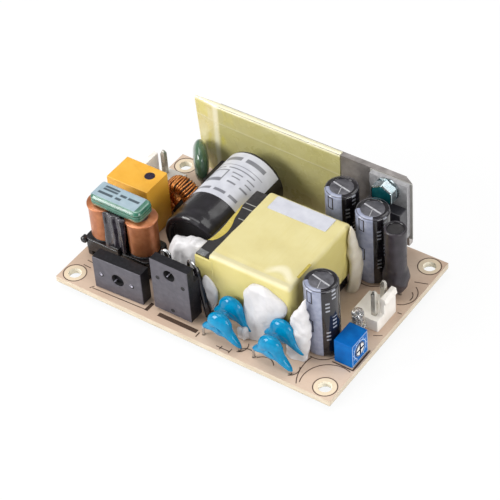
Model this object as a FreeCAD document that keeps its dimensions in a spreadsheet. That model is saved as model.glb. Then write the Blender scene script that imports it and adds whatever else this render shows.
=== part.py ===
"""Open-frame switching power supply on a 76.2 x 50.8 mm board, as one parametric document.

Millimetres, +Z up.  The origin is the middle of the mounting-hole pattern on the underside of
the board, +X runs to the output end, -X to the mains end and +Y to the heatsink edge.
Every size lives in the spreadsheet "Sizes"; every part is bound to it by expressions.
"""
import FreeCAD
import Part
import os
import re

doc = FreeCAD.newDocument("power_supply")
sheet = doc.addObject("Spreadsheet::Sheet", "Sizes")

# sizes in mm and degrees
SIZES = {
    "board_length": 76.2,  # board, along X (standard 3 inch open-frame footprint)
    "board_width": 50.8,  # board, along Y (2 inch)
    "board_thickness": 1.6,  # single-sided laminate
    "mount_pitch_x": 69.85,  # hole spacing along X
    "mount_pitch_y": 44.45,  # hole spacing along Y
    "mount_hole_diameter": 3.2,  # clearance for an M3 screw
    "body_lift": 0.25,  # air under parts that stand on the board
    "hole_gap": 0.12,  # radial room round a lead in its hole
    "solder_height": 1.8,  # soldered tail below the board
    "solder_spread": 0.5,  # how far a solder cone spreads past its lead
    "thin_lead_radius": 0.3,  # leads of small parts
    "thick_lead_radius": 0.4,  # leads of power parts
    "foot_radius": 0.65,  # staked pins of the heatsink
    "bridge_x": -21.2,  # middle of the bridge rectifier
    "bridge_front_y": -23.0,  # its front face
    "bridge_length": 13.5,
    "bridge_depth": 3.3,
    "bridge_height": 9.4,
    "bridge_hole_radius": 1.65,
    "bridge_hole_depth": 1.1,
    "bridge_lead_pitch": 3.5,
    "flat_lead_width": 0.9,  # blade leads of power parts
    "flat_lead_thickness": 0.5,
    "bridge_turn": 2.4,  # it stands a little askew about Z
    "switch_x": -6.35,  # middle of the switching transistor
    "switch_front_y": -22.1,  # its flat face
    "switch_width": 10.4,
    "switch_neck_depth": 2.5,  # thin upper part
    "switch_depth": 4.1,  # lower part
    "switch_height": 15.2,
    "switch_body_height": 11,  # height of the thick lower part
    "switch_lift": 0.9,
    "switch_hole_radius": 1.55,
    "switch_hole_drop": 3.1,  # hole centre below the top
    "switch_lead_pitch": 2.54,
    "diode_radius": 1.35,
    "diode_length": 4.6,
    "diode_lift": 1.6,
    "diode_y": -15,
    "diode_left_x": -11.4,
    "diode_right_x": -6.2,
    "hairpin_radius": 1.1,  # of the left lead
    "hairpin_top": 11.1,  # straight part of the hairpins above the board
    "hairpin_far_x": -2.4,  # upper end of the sleeved lead
    "hairpin_far_y": -16.7,
    "hairpin_foot_x": 0.8,  # its foot
    "hairpin_foot_y": -18.05,
    "sleeve_wall": 0.25,
    "sleeve_lift": 1.2,  # end of the sleeve above the board
    "choke_x": -27.3,  # middle of the line choke
    "choke_y": -11.4,
    "choke_core_length": 14.5,
    "choke_core_width": 6,
    "choke_core_height": 2.9,
    "choke_core_top": 18.9,  # above the board
    "choke_core_bevel": 1.25,
    "choke_core_gap": 0.15,  # room between yoke and winding flange
    "choke_leg_pitch": 11,  # between the two windings
    "choke_leg_radius": 1.7,
    "choke_winding_radius": 3.7,
    "choke_winding_height": 9.4,
    "choke_flange_radius": 3.3,
    "choke_flange_thickness": 0.4,
    "choke_base_length": 18.8,
    "choke_base_width": 8.6,
    "choke_base_height": 5.5,
    "choke_divider": 2.8,
    "choke_pin_pitch_x": 13,
    "choke_pin_pitch_y": 5,
    "choke_pin_side": 0.7,
    "choke_knob_radius": 0.9,
    "label_thickness": 0.1,
    "choke_label_length": 10.8,
    "choke_label_width": 3.8,
    "xcap_left_x": -37.7,
    "xcap_front_y": -3.8,
    "xcap_length": 11.8,
    "xcap_depth": 8.2,
    "xcap_height": 14.8,
    "xcap_lead_pitch": 7.5,
    "xcap_wall": 0.9,  # moulded rim under the box
    "xcap_mark_radius": 1.3,
    "xcap_mark_depth": 0.3,
    "toroid_x": -25.6,
    "toroid_y": 8.3,  # middle of the ring, whose axis is along Y
    "toroid_z": 5.0,  # above the board
    "toroid_outer_radius": 4.35,  # bare ring
    "toroid_inner_radius": 2.5,
    "toroid_thickness": 4,
    "toroid_wire": 0.5,
    "toroid_turns": 30,
    "toroid_gap": 0.06,
    "toroid_lead_pitch": 7,
    "ntc_x": -27.1,  # green disc thermistor
    "ntc_y": 18.75,
    "ntc_z": 7.6,  # above the board
    "ntc_radius": 5.3,
    "ntc_half_thickness": 1.85,
    "ntc_turn": 38,  # its face turned about Z
    "ntc_lead_pitch": 5,
    "fuse_x": -22.15,  # box fuse
    "fuse_y": 18.3,
    "fuse_length": 8.2,
    "fuse_depth": 2.7,
    "fuse_height": 6.6,
    "fuse_lead_pitch": 5.08,
    "mains_pin_x": -35.2,  # header pins
    "mains_first_y": 6.78,
    "output_pin_x": 34,
    "output_first_y": -0.24,
    "header_pitch": 3.96,
    "header_pin_side": 1.14,
    "header_pin_top": 10.4,
    "header_end": 1.95,  # last pin to the end of the moulding
    "header_back": 2,  # pin to the outer face
    "header_depth": 7,
    "header_base_height": 3.3,
    "header_wall_thickness": 1.1,
    "output_wall_height": 7.7,
    "mains_wall_height": 10,
    "header_wall_short": 2.9,  # wall stops short of one end
    "header_catch": 0.5,
    "bulk_x": -11.4,  # axis of the bulk capacitor, along Y
    "bulk_z": 8.35,
    "bulk_back_gap": 3.7,  # between its rear and the film on the heatsink
    "bulk_length": 26.5,
    "bulk_radius": 8,  # over the sleeve
    "bulk_sleeve": 0.3,
    "bulk_lip": 2.1,  # rolled lip of the sleeve
    "bulk_bung_radius": 5.9,
    "bulk_bung_sink": 0.7,
    "bulk_lead_pitch": 7.5,
    "bulk_lead_run": 1.6,
    "bulk_label_start": 9.6,  # from the front
    "bulk_label_length": 16.2,
    "bulk_label_thickness": 0.12,
    "trafo_left_x": 0.5,  # wrapped part of the transformer
    "trafo_front_y": -16.3,
    "trafo_length": 22.1,  # along X
    "trafo_width": 25.3,  # along Y
    "trafo_top": 18.2,  # above the board
    "trafo_wrap": 0.35,
    "trafo_wrap_bottom": 3.4,  # above the board
    "trafo_core_left": 3.6,  # yoke sticks out of the wrap on the mains side
    "trafo_yoke": 3.9,
    "trafo_core_top": 16.9,
    "trafo_core_bottom": 8.4,
    "trafo_post_half": 3.6,
    "trafo_coil_gap": 0.1,
    "trafo_coil_end": 4.4,  # coil stops before the yoke
    "trafo_bobbin_bottom": 0.5,
    "trafo_rail_height": 2.6,
    "trafo_rail_length": 22,
    "trafo_rail_depth": 3.6,
    "trafo_band": 1,  # tape pad on the mains side
    "trafo_band_front": 1,  # it starts behind the front of the core
    "trafo_band_top": 15.4,
    "trafo_band_bottom": 12.2,
    "trafo_pin_side": 0.7,
    "trafo_pin_pitch": 5.08,
    "trafo_label_length": 15.8,
    "trafo_label_width": 4.6,
    "trafo_label_side": 3.6,  # label to the output side of the wrap
    "trafo_label_back": 0.9,  # label to the back of the wrap
    "plate_left_x": -24.2,  # heatsink
    "plate_length": 53,
    "plate_front_y": 23.4,
    "plate_thickness": 1.5,
    "plate_bottom": 2.6,  # above the board
    "plate_top": 22.3,
    "plate_corner": 1.6,
    "plate_foot_inset": 6,
    "film_left_x": -31.2,
    "film_right_x": 10.3,
    "film_thickness": 0.2,
    "film_bottom": 1.2,
    "film_back": 9,  # how far it comes down behind
    "rect_x": 24.2,  # output rectifier
    "rect_top": 22.1,  # above the board
    "rect_width": 10,
    "rect_tab_thickness": 1.3,
    "rect_tab_length": 15.6,
    "rect_body_height": 9.2,
    "rect_body_depth": 3.1,  # in front of the tab
    "rect_hole_radius": 1.8,
    "rect_hole_drop": 2.5,
    "rect_lead_pitch": 2.54,
    "rect_pad_thickness": 0.25,
    "rect_pad_margin": 1.2,
    "screw_radius": 1.5,
    "screw_head_height": 2.6,
    "screw_head_radius": 3.1,  # over the corners
    "washer_radius": 3.4,
    "washer_thickness": 0.5,
    "outcap_radius": 4,  # over the sleeve
    "outcap_height": 20.1,
    "outcap_sleeve": 0.2,
    "outcap_lip": 0.7,
    "outcap_lead_pitch": 3.5,
    "outcap_bung_height": 1.2,
    "front_cap_x": 27.8,
    "front_cap_y": -11.6,
    "mid_cap_x": 25.2,
    "mid_cap_y": 13.7,
    "back_cap_x": 15.2,
    "back_cap_y": 16.4,
    "rod_x": 32.9,
    "rod_y": 10.9,
    "rod_radius": 2.6,
    "rod_top": 20.2,
    "rod_bulge_radius": 3.15,
    "rod_bulge_z": 5.4,
    "rod_neck_z": 8.6,
    "rod_foot_radius": 1.5,
    "rod_foot_z": 0.9,
    "rod_shrink": 0.35,
    "rod_lead_pitch": 1.9,
    "led_x": 32.2,
    "led_y": -4.3,
    "led_radius": 1.5,
    "led_flange_radius": 1.9,
    "led_flange_height": 1,
    "led_dome_z": 5.9,
    "led_lead_pitch": 2.54,
    "led_lift": 2.2,
    "trimmer_left_x": 32.5,
    "trimmer_front_y": -14.7,
    "trimmer_depth": 4.7,
    "trimmer_width": 6.6,
    "trimmer_height": 6.6,
    "rotor_radius": 1.75,
    "rotor_gap": 0.06,  # running fit
    "rotor_length": 1.5,
    "rotor_proud": 0.1,
    "rotor_slot": 0.5,
    "rotor_slot_depth": 0.5,
    "trimmer_pin_pitch": 2.54,
    "trimmer_pin_side": 0.5,
    "blue_radius": 3.6,  # disc capacitors
    "blue_half_thickness": 1.35,
    "blue_edge": 1.1,  # rounding of its rim
    "blue_z": 5.9,  # above the board
    "blue_lead_pitch": 9.8,
    "blue_leg_radius": 1,
    "blue_leg_tip_radius": 0.55,
    "blue_left_tip_z": 3.2,
    "blue_right_tip_z": 1.3,
    "blue_front_y": -22.9,  # front pair
    "blue_back_y": -18,  # back pair
    "blue_first_x": 7.6,
    "blue_step_x": 13.7,
    "opto_x": 6.5,
    "opto_y": 14.2,
    "opto_length": 4.6,
    "opto_width": 6.4,
    "opto_height": 3.4,
    "opto_row": 7.62,
    "opto_pin_pitch": 2.54,
    "opto_pin_width": 0.5,
    "opto_pin_thickness": 0.3,
    "ic_x": -8,  # controller under the board
    "ic_y": 6,
    "ic_length": 4.9,
    "ic_width": 3.9,
    "ic_height": 1.5,
    "ic_lead_pitch": 1.27,
    "ic_lead_width": 0.4,
    "ic_lead_reach": 1,
    "ic_lead_thickness": 0.2,
    "ref_x": 15,  # reference under the board
    "ref_y": -5,
    "ref_length": 2.9,
    "ref_width": 1.5,
    "ref_height": 1,
    "chip_length": 3.2,  # chip parts under the board
    "chip_width": 1.6,
    "chip_height": 0.6,
    "chip_end": 0.5,
    "bead_post_x": -9.8,  # white fixing silicone
    "bead_post_height": 9.2,
    "bead_post_radius": 6.2,
    "bead_big_x": 15,
    "bead_big_height": 7.7,
    "bead_big_radius": 5.6,
    "bead_side_height": 12.5,
    "bead_side_radius": 1.5,
    "bead_gap": 0.05,
}

# sizes that follow from the others
DERIVED = {
    "bulk_front_y": "=plate_front_y - film_thickness - bulk_back_gap - bulk_length",
}

NAMES = list(SIZES) + list(DERIVED)
for number, alias in enumerate(NAMES, 1):
    sheet.set(f"A{number}", alias)
    sheet.set(f"B{number}", str(SIZES.get(alias, DERIVED.get(alias))))
    sheet.setAlias(f"B{number}", alias)
doc.recompute()


def ex(text):
    """Write an expression in terms of the sheet: plain size names become Sizes.name."""
    return re.sub(r"[a-z][a-z0-9_]*", lambda m: "Sizes." + m[0] if m[0] in NAMES else m[0], text)


def size(name):
    """The present value of a size."""
    return float(sheet.get(name))


def bind(obj, **props):
    """Bind properties of an object to expressions."""
    for name, text in props.items():
        obj.setExpression(name, ex(text))
    return obj


def place(obj, x="0", y="0", z="0", axis=None, angle=None):
    """Bind the place of an object; the angle turns it about the given axis."""
    if axis:
        obj.Placement = FreeCAD.Placement(FreeCAD.Vector(), FreeCAD.Rotation(FreeCAD.Vector(*axis), 90))
        if angle:
            obj.setExpression("Placement.Rotation.Angle", ex(angle))
    for part, text in (("x", x), ("y", y), ("z", z)):
        obj.setExpression("Placement.Base." + part, ex(text))
    return obj


def add(kind, name):
    return doc.addObject("Part::" + kind, name)


def box(name, x, y, z, lx, ly, lz):
    """A box from its lowest corner and its three lengths."""
    return place(bind(add("Box", name), Length=lx, Width=ly, Height=lz), x, y, z)


def post(name, x, y, z, radius, height):
    """An upright cylinder standing on (x, y, z)."""
    return place(bind(add("Cylinder", name), Radius=radius, Height=height), x, y, z)


def along_y(name, x, y, z, radius, height):
    """A cylinder that runs from (x, y, z) towards +Y."""
    return place(bind(add("Cylinder", name), Radius=radius, Height=height), x, y, z, (-1, 0, 0))


def along_x(name, x, y, z, radius, height):
    """A cylinder that runs from (x, y, z) towards +X."""
    return place(bind(add("Cylinder", name), Radius=radius, Height=height), x, y, z, (0, 1, 0))


def cone(name, x, y, z, low, high, height):
    """An upright cone from radius low at the bottom to radius high at the top."""
    return place(bind(add("Cone", name), Radius1=low, Radius2=high, Height=height), x, y, z)


def egg(name, x, y, z, rx, ry, rz, turn=None):
    """An ellipsoid with half sizes rx, ry, rz, turned about Z by the angle turn."""
    ball = bind(add("Ellipsoid", name), Radius2=rx, Radius3=ry, Radius1=rz)
    return place(ball, x, y, z, (0, 0, 1), turn or "0")


def fuse(name, *parts):
    out = add("MultiFuse", name)
    out.Shapes = list(parts)
    return out


def cut(name, base, *tools):
    out = add("Cut", name)
    out.Base = base
    out.Tool = tools[0] if len(tools) == 1 else group(name + "_tools", *tools)
    return out


def group(name, *parts):
    out = add("Compound", name)
    out.Links = list(parts)
    return out


def bevel(name, base, width, pick, kind="Chamfer"):
    """Bevel or round the edges of base for which pick(edge) is true."""
    doc.recompute()
    edges = [i for i, e in enumerate(base.Shape.Edges, 1) if pick(e)]
    out = add(kind, name)
    out.Base = base
    out.Edges = [(i, width, width) for i in edges]
    return out


nodes = {}
shared = {}
drills = []
joints = []
TOP = "board_thickness"


def node(name, thing):
    """Register a finished thing under its file name."""
    thing.Label = name
    nodes[name] = thing
    return thing


def share(name, *things):
    """Add repeats of one kind to a node that they share as separate solids."""
    shared.setdefault(name, []).extend(things)


def drill(name, x, y, radius):
    """Drill the board for a lead and put a solder cone under it."""
    drills.append(post("hole_" + name, x, y, "-1", radius + " + hole_gap", TOP + " + 2"))
    joints.append(cone("joint_" + name, x, y, "-solder_height", radius + " * 0.8",
                       radius + " + solder_spread", "solder_height"))


def wire(name, x, y, top, radius):
    """A round lead from the underside of the board up to the height top over the board."""
    drill(name, x, y, radius)
    return post(name, x, y, "0", radius, TOP + " + " + top)


def blade(name, x, y, top, width, thickness):
    """A flat or square lead from the underside up to the height top over the board."""
    drill(name, x, y, "(" + width + " + " + thickness + ") / 2.8")
    return box(name, f"{x} - ({width}) / 2", f"{y} - ({thickness}) / 2", "0", width, thickness,
               TOP + " + " + top)


def row(count):
    """Offsets of evenly spaced leads about their middle, as plain numbers."""
    return [i - (count - 1) / 2 for i in range(count)]


# bridge rectifier
body = box("bridge_block", "-bridge_length / 2", "-bridge_depth / 2", "0", "bridge_length", "bridge_depth",
           "bridge_height")
dimple = along_y("bridge_dimple", "0", "-bridge_depth / 2 - 1", "bridge_height / 2", "bridge_hole_radius",
                 "bridge_hole_depth + 1")
node("bridge_rectifier_body", place(cut("bridge_body", body, dimple), "bridge_x",
                                    "bridge_front_y + bridge_depth / 2", TOP + " + body_lift", (0, 0, 1),
                                    "bridge_turn"))
share("power_leads", *[
    blade(f"bridge_lead_{n}", f"bridge_x + {k} * bridge_lead_pitch", "bridge_front_y + bridge_depth / 2",
          "body_lift", "flat_lead_width", "flat_lead_thickness") for n, k in enumerate(row(4))])

# switching transistor
neck = box("switch_neck", "switch_x - switch_width / 2", "switch_front_y", TOP + " + switch_lift",
           "switch_width", "switch_neck_depth", "switch_height")
thick = box("switch_block", "switch_x - switch_width / 2", "switch_front_y", TOP + " + switch_lift",
            "switch_width", "switch_depth", "switch_body_height")
eye = along_y("switch_eye", "switch_x", "switch_front_y - 1",
              TOP + " + switch_lift + switch_height - switch_hole_drop", "switch_hole_radius",
              "switch_neck_depth + 2")
node("switch_transistor_body", cut("switch_body", fuse("switch_solid", neck, thick), eye))
share("power_leads", *[
    blade(f"switch_lead_{n}", f"switch_x + {k} * switch_lead_pitch", "switch_front_y + switch_neck_depth",
          "switch_lift", "flat_lead_width", "flat_lead_thickness") for n, k in enumerate(row(3))])

# clamp diodes standing behind the transistor, each with a hairpin lead
bodies, wires = [], []
for n, x in enumerate(("diode_left_x", "diode_right_x")):
    bodies.append(post(f"diode_{n}", x, "diode_y", TOP + " + diode_lift", "diode_radius", "diode_length"))
    wires.append(wire(f"diode_foot_{n}", x, "diode_y", "diode_lift", "thick_lead_radius"))
knee_z = TOP + " + hairpin_top"
rise = post("diode_rise_0", "diode_left_x", "diode_y", TOP + " + diode_lift + diode_length",
            "thick_lead_radius", "hairpin_top - diode_lift - diode_length")
fall = wire("diode_fall_0", "diode_left_x - 2 * hairpin_radius", "diode_y", "hairpin_top",
            "thick_lead_radius")
loop = bind(add("Torus", "diode_loop_0"), Radius1="hairpin_radius", Radius2="thick_lead_radius")
loop.Angle3 = 180
place(loop, "diode_left_x - hairpin_radius", "diode_y", knee_z, (1, 0, 0), "90")
wires.append(fuse("diode_hairpin_0", rise, loop, fall))
rise = post("diode_rise_1", "diode_right_x", "diode_y", TOP + " + diode_lift + diode_length",
            "thick_lead_radius", "hairpin_top - diode_lift - diode_length")
dx, dy = "(hairpin_far_x - diode_right_x)", "(hairpin_far_y - diode_y)"
loop = bind(add("Torus", "diode_loop_1"), Radius1=f"sqrt({dx} ^ 2 + {dy} ^ 2) / 2",
            Radius2="thick_lead_radius")
loop.Angle3 = 180
place(loop, "(hairpin_far_x + diode_right_x) / 2", "(hairpin_far_y + diode_y) / 2", knee_z)
# yaw about Z after standing the ring up, as one rotation
loop.setExpression("Placement.Rotation", f"create(<<rotation>>; create(<<vector>>; 0; 0; 1); "
                   f"{ex(f'atan({dy} / {dx})')}) * create(<<rotation>>; create(<<vector>>; 1; 0; 0); 90)")
sx, sy = "(hairpin_far_x - hairpin_foot_x)", "(hairpin_far_y - hairpin_foot_y)"
lean = f"sqrt({sx} ^ 2 + {sy} ^ 2)"
long = f"sqrt({sx} ^ 2 + {sy} ^ 2 + hairpin_top ^ 2)"


def leaning(name, start, radius, length):
    """A cylinder on the line of the sleeved lead, from start along it."""
    out = bind(add("Cylinder", name), Radius=radius, Height=length)
    share_of = f"(({start}) / ({long}))"
    place(out, f"hairpin_foot_x + {sx} * {share_of}", f"hairpin_foot_y + {sy} * {share_of}",
          TOP + f" + hairpin_top * {share_of}")
    out.setExpression("Placement.Rotation", f"create(<<rotation>>; create(<<vector>>; "
                      f"{ex('-' + sy)}; {ex(sx)}; 0); {ex(f'atan({lean} / hairpin_top)')})")
    return out


fall = leaning("diode_fall_1", "0", "thick_lead_radius", long)
toe = wire("diode_toe_1", "hairpin_foot_x", "hairpin_foot_y", "0.2", "thick_lead_radius")
knees = [place(bind(add("Sphere", f"diode_knee_{n}"), Radius="thick_lead_radius"), x, y, z)
         for n, (x, y, z) in enumerate((("hairpin_far_x", "hairpin_far_y", knee_z),
                                        ("hairpin_foot_x", "hairpin_foot_y", TOP + " + 0.2")))]
wires.append(fuse("diode_hairpin_1", rise, loop, fall, toe, *knees))
sleeve = leaning("diode_sleeve", "sleeve_lift", "thick_lead_radius + sleeve_wall",
                 f"{long} - sleeve_lift - 0.4")
node("clamp_diode_bodies", group("diode_bodies", *bodies))
node("clamp_diode_leads", group("diode_leads", *wires))
node("clamp_diode_sleeve", cut("diode_sleeve_tube", sleeve, wires[-1]))

# line choke: two yokes and two legs, a bobbin, two windings
low = TOP + " + choke_base_height"
wind_z = low + " + choke_flange_thickness"
flange_top = wind_z + " + choke_winding_height + choke_flange_thickness"
half = "choke_core_length / 2"
yoke = box("choke_yoke", f"choke_x - {half}", "choke_y - choke_core_width / 2",
           TOP + " + choke_core_top - choke_core_height", "choke_core_length", "choke_core_width",
           "choke_core_height")
yoke = bevel("choke_yoke_round", yoke, size("choke_core_bevel"), lambda e: abs(e.Curve.Direction.z) > 0.9
             or (abs(e.Curve.Direction.x) > 0.9 and e.BoundBox.ZMin > yoke.Shape.BoundBox.Center.z))
legs, posts, tubes, flanges, rings = [], [], [], [], []
for side, s in (("left", -1), ("right", 1)):
    x = f"choke_x + {s} * choke_leg_pitch / 2"
    legs.append(post(f"choke_leg_{side}", x, "choke_y", low, "choke_leg_radius",
                     f"choke_core_top - choke_core_height - choke_base_height"))
    bore = post(f"choke_bore_{side}", x, "choke_y", TOP, "choke_leg_radius + bead_gap", "choke_core_top")
    tube = post(f"choke_tube_{side}", x, "choke_y", low, "choke_leg_radius + 0.6",
                "choke_winding_height + 2 * choke_flange_thickness")
    top_flange = post(f"choke_flange_top_{side}", x, "choke_y", wind_z + " + choke_winding_height",
                      "choke_flange_radius", "choke_flange_thickness")
    low_flange = post(f"choke_flange_low_{side}", x, "choke_y", low, "choke_flange_radius",
                      "choke_flange_thickness")
    tubes += [tube, top_flange, low_flange]
    posts.append(bore)
    coil = post(f"choke_coil_{side}", x, "choke_y", wind_z, "choke_winding_radius", "choke_winding_height")
    hole = post(f"choke_coil_bore_{side}", x, "choke_y", low, "choke_leg_radius + 0.6", "choke_core_top")
    share("line_choke_windings", cut(f"choke_winding_{side}", coil, hole))
node("line_choke_core", fuse("choke_core", yoke, *legs))
base = box("choke_base", "choke_x - choke_base_length / 2", "choke_y - choke_base_width / 2",
           TOP + " + body_lift", "choke_base_length", "choke_base_width",
           "choke_base_height - body_lift")
wall = box("choke_divider_wall", "choke_x - choke_divider / 2", "choke_y - choke_core_width / 2 - 0.6", low,
           "choke_divider", "choke_core_width + 1.2", "choke_winding_height + 2 * choke_flange_thickness")
knob = along_y("choke_knob", "choke_x - choke_base_length / 2", "choke_y - choke_base_width / 2 - 0.4",
               TOP + " + choke_base_height - choke_knob_radius", "choke_knob_radius", "1.6")
trim = [post(f"choke_trim_{n}", f"choke_x + {s} * choke_leg_pitch / 2", "choke_y", wind_z,
             "choke_winding_radius + bead_gap", "choke_winding_height") for n, s in enumerate((-1, 1))]
frame = fuse("choke_frame", cut("choke_wall_cut", wall, *trim), base, knob, *tubes)
legcut = [post(f"choke_legcut_{n}", f"choke_x + {s} * choke_leg_pitch / 2", "choke_y", low,
               "choke_leg_radius", "choke_core_top") for n, s in enumerate((-1, 1))]
node("line_choke_bobbin", cut("choke_bobbin", frame, *legcut))
share("moulded_part_pins", *[
    blade(f"choke_pin_{i}{j}", f"choke_x + {i} * choke_pin_pitch_x / 2", f"choke_y + {j} * choke_pin_pitch_y / 2",
          "body_lift", "choke_pin_side", "choke_pin_side") for i in (-1, 1) for j in (-1, 1)])
node("line_choke_label", box("choke_label", "choke_x - choke_core_length / 2 + 1.8",
                             "choke_y - choke_label_width / 2 + 0", TOP + " + choke_core_top",
                             "choke_label_length", "choke_label_width - 0.6", "label_thickness"))

# X capacitor
block = box("xcap_block", "xcap_left_x", "xcap_front_y", TOP + " + body_lift", "xcap_length", "xcap_depth",
            "xcap_height")
under = box("xcap_under", "xcap_left_x + xcap_wall", "xcap_front_y - 1", TOP, "xcap_length - 2 * xcap_wall",
            "xcap_depth + 2", "body_lift + 0.3")
mark = post("xcap_mark", "xcap_left_x + xcap_length - 3", "xcap_front_y + xcap_depth / 2 + 1.2",
            TOP + " + body_lift + xcap_height - xcap_mark_depth", "xcap_mark_radius", "2")
node("x_capacitor_box", cut("xcap_box", block, under, mark))
share("component_leads", *[
    wire(f"xcap_lead_{n}", f"xcap_left_x + xcap_length / 2 + {k} * xcap_lead_pitch",
         "xcap_front_y + xcap_depth / 2", "body_lift + 0.3", "thick_lead_radius")
    for n, k in enumerate(row(2))])

# toroid inductor, its ring upright with the axis along Y
ring = along_y("toroid_disc", "toroid_x", "toroid_y - toroid_thickness / 2", TOP + " + toroid_z",
               "toroid_outer_radius", "toroid_thickness")
eye = along_y("toroid_eye", "toroid_x", "toroid_y - toroid_thickness", TOP + " + toroid_z",
              "toroid_inner_radius", "2 * toroid_thickness")
node("toroid_core", cut("toroid_ring", ring, eye))


def turn(angle):
    """One square-section turn round the ring, standing at the given angle about its axis."""
    w = size("toroid_wire")
    inner = size("toroid_inner_radius") - size("toroid_gap")
    outer = size("toroid_outer_radius") + size("toroid_gap")
    depth = size("toroid_thickness") / 2 + size("toroid_gap")
    wide = w * 0.72
    out = Part.makeBox(outer - inner + 2 * wide, 2 * (depth + wide), wide,
                       FreeCAD.Vector(inner - wide, -depth - wide, -wide / 2))
    hole = Part.makeBox(outer - inner, 2 * depth, 2 * wide, FreeCAD.Vector(inner, -depth, -wide))
    out = out.makeChamfer(wide * 0.45, [e for e in out.Edges if e.Length < wide * 1.01])
    out = out.cut(hole)
    out.rotate(FreeCAD.Vector(), FreeCAD.Vector(0, 1, 0), angle)
    out.translate(FreeCAD.Vector(size("toroid_x"), size("toroid_y"), size("board_thickness") + size("toroid_z")))
    return out


count = int(size("toroid_turns"))
turns = doc.addObject("Part::Feature", "toroid_turns_shape")
turns.Shape = Part.makeCompound([turn(115 + 310 * i / (count - 1)) for i in range(count)])
node("toroid_winding", turns)
node("toroid_leads", group("toroid_lead_pair", *[
    wire(f"toroid_lead_{n}", f"toroid_x + {k} * toroid_lead_pitch", "toroid_y", "0.9",
         "toroid_wire / 2") for n, k in enumerate(row(2))]))

# disc thermistor
node("thermistor_disc", egg("ntc_disc", "ntc_x", "ntc_y", TOP + " + ntc_z", "ntc_half_thickness",
                            "ntc_radius", "ntc_radius", "ntc_turn"))
ntc_low = "ntc_z - ntc_radius * sqrt(1 - (ntc_lead_pitch / 2 / ntc_radius) ^ 2)"
legs = [wire(f"ntc_lead_{n}", f"ntc_x - {k} * ntc_lead_pitch * sin(ntc_turn * 1deg)",
             f"ntc_y + {k} * ntc_lead_pitch * cos(ntc_turn * 1deg)", "(" + ntc_low + ")",
             "thin_lead_radius") for n, k in enumerate(row(2))]
share("component_leads", cut("ntc_leads_cut", group("ntc_leads", *legs), nodes["thermistor_disc"]))

# box fuse
node("fuse_body", box("fuse_block", "fuse_x - fuse_depth / 2", "fuse_y - fuse_length / 2",
                      TOP + " + body_lift", "fuse_depth", "fuse_length", "fuse_height"))
share("component_leads", *[
    wire(f"fuse_lead_{n}", "fuse_x", f"fuse_y + {k} * fuse_lead_pitch", "body_lift", "thin_lead_radius")
    for n, k in enumerate(row(2))])


def header(tag, px, first, places, pins, s, wall_height):
    """A header along Y: s is +1 when its outer wall looks to +X and -1 when it looks to -X."""
    length = f"({places - 1} * header_pitch + 2 * header_end)"
    outer = f"{px} + {s} * header_back"
    left = f"{outer} - header_depth" if s > 0 else outer
    base = box(tag + "_base", left, f"{first} - header_end", TOP, "header_depth", length,
               "header_base_height")
    wall_x = f"{outer} - header_wall_thickness" if s > 0 else outer
    wall_y = f"{first} - header_end" + (" + header_wall_short" if s > 0 else "")
    wall = box(tag + "_wall", wall_x, wall_y, TOP, "header_wall_thickness",
               f"{length} - header_wall_short", wall_height)
    catch = add("Wedge", tag + "_catch")
    bind(catch, Xmin="0", Ymin="0", Zmin="0", Xmax="header_catch", Ymax="header_catch * 3",
         Zmax=f"{length} - header_wall_short")
    bind(catch, X2min="0", Z2min="0", X2max="header_catch / 4", Z2max=f"{length} - header_wall_short")
    if s > 0:
        catch.Placement.Rotation = FreeCAD.Rotation(FreeCAD.Vector(1, 0, 0), 90)
        place_y = f"{wall_y} + {length} - header_wall_short"
    else:
        catch.Placement.Rotation = FreeCAD.Rotation(90, 0, 90).multiply(FreeCAD.Rotation())
        catch.Placement.Rotation = FreeCAD.Rotation(FreeCAD.Vector(0, 0, 1), 180).multiply(
            FreeCAD.Rotation(FreeCAD.Vector(1, 0, 0), 90))
        place_y = wall_y
    place(catch, outer, place_y, TOP + " + " + wall_height + " - header_catch * 3")
    holes = [box(f"{tag}_slot_{n}", f"{px} - header_pin_side / 2",
                 f"{first} + {n} * header_pitch - header_pin_side / 2", "0", "header_pin_side",
                 "header_pin_side", "20") for n in pins]
    node(tag, cut(tag + "_moulding", fuse(tag + "_solid", base, wall, catch), *holes))
    blades = []
    for n in pins:
        stem = blade(f"{tag}_pin_{n}", px, f"{first} + {n} * header_pitch", "header_pin_top - 0.6",
                     "header_pin_side", "header_pin_side")
        blades.append(stem)
    share("header_pins", *blades)


header("ac_header", "mains_pin_x", "mains_first_y", 3, (0, 2), -1, "mains_wall_height")
header("output_header", "output_pin_x", "output_first_y", 2, (0, 1), 1, "output_wall_height")

# bulk capacitor lying along Y
mid_z = TOP + " + bulk_z"
can = along_y("bulk_can", "bulk_x", "bulk_front_y + bulk_bung_sink", mid_z, "bulk_radius - bulk_sleeve",
              "bulk_length - bulk_bung_sink - bulk_sleeve")
cup = along_y("bulk_can_mouth", "bulk_x", "bulk_front_y - 1", mid_z, "bulk_bung_radius",
              "bulk_bung_sink + 1 + bulk_bung_sink * 3")
node("bulk_capacitor_can", cut("bulk_can_cup", can, cup))
share("capacitor_bungs", along_y("bulk_bung", "bulk_x", "bulk_front_y + bulk_bung_sink * 1.5", mid_z,
                                 "bulk_bung_radius", "bulk_bung_sink * 2.5"))
tube = along_y("bulk_tube", "bulk_x", "bulk_front_y", mid_z, "bulk_radius", "bulk_length")
inside = along_y("bulk_tube_inside", "bulk_x", "bulk_front_y + bulk_bung_sink", mid_z,
                 "bulk_radius - bulk_sleeve", "bulk_length - bulk_bung_sink - bulk_sleeve")
mouth = along_y("bulk_tube_mouth", "bulk_x", "bulk_front_y - 1", mid_z, "bulk_radius - bulk_lip", "3")
rear = along_y("bulk_tube_rear", "bulk_x", "bulk_front_y + bulk_length - 1", mid_z,
               "bulk_radius - bulk_lip", "3")
node("bulk_capacitor_sleeve", cut("bulk_sleeve_tube", tube, inside, mouth, rear))
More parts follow.
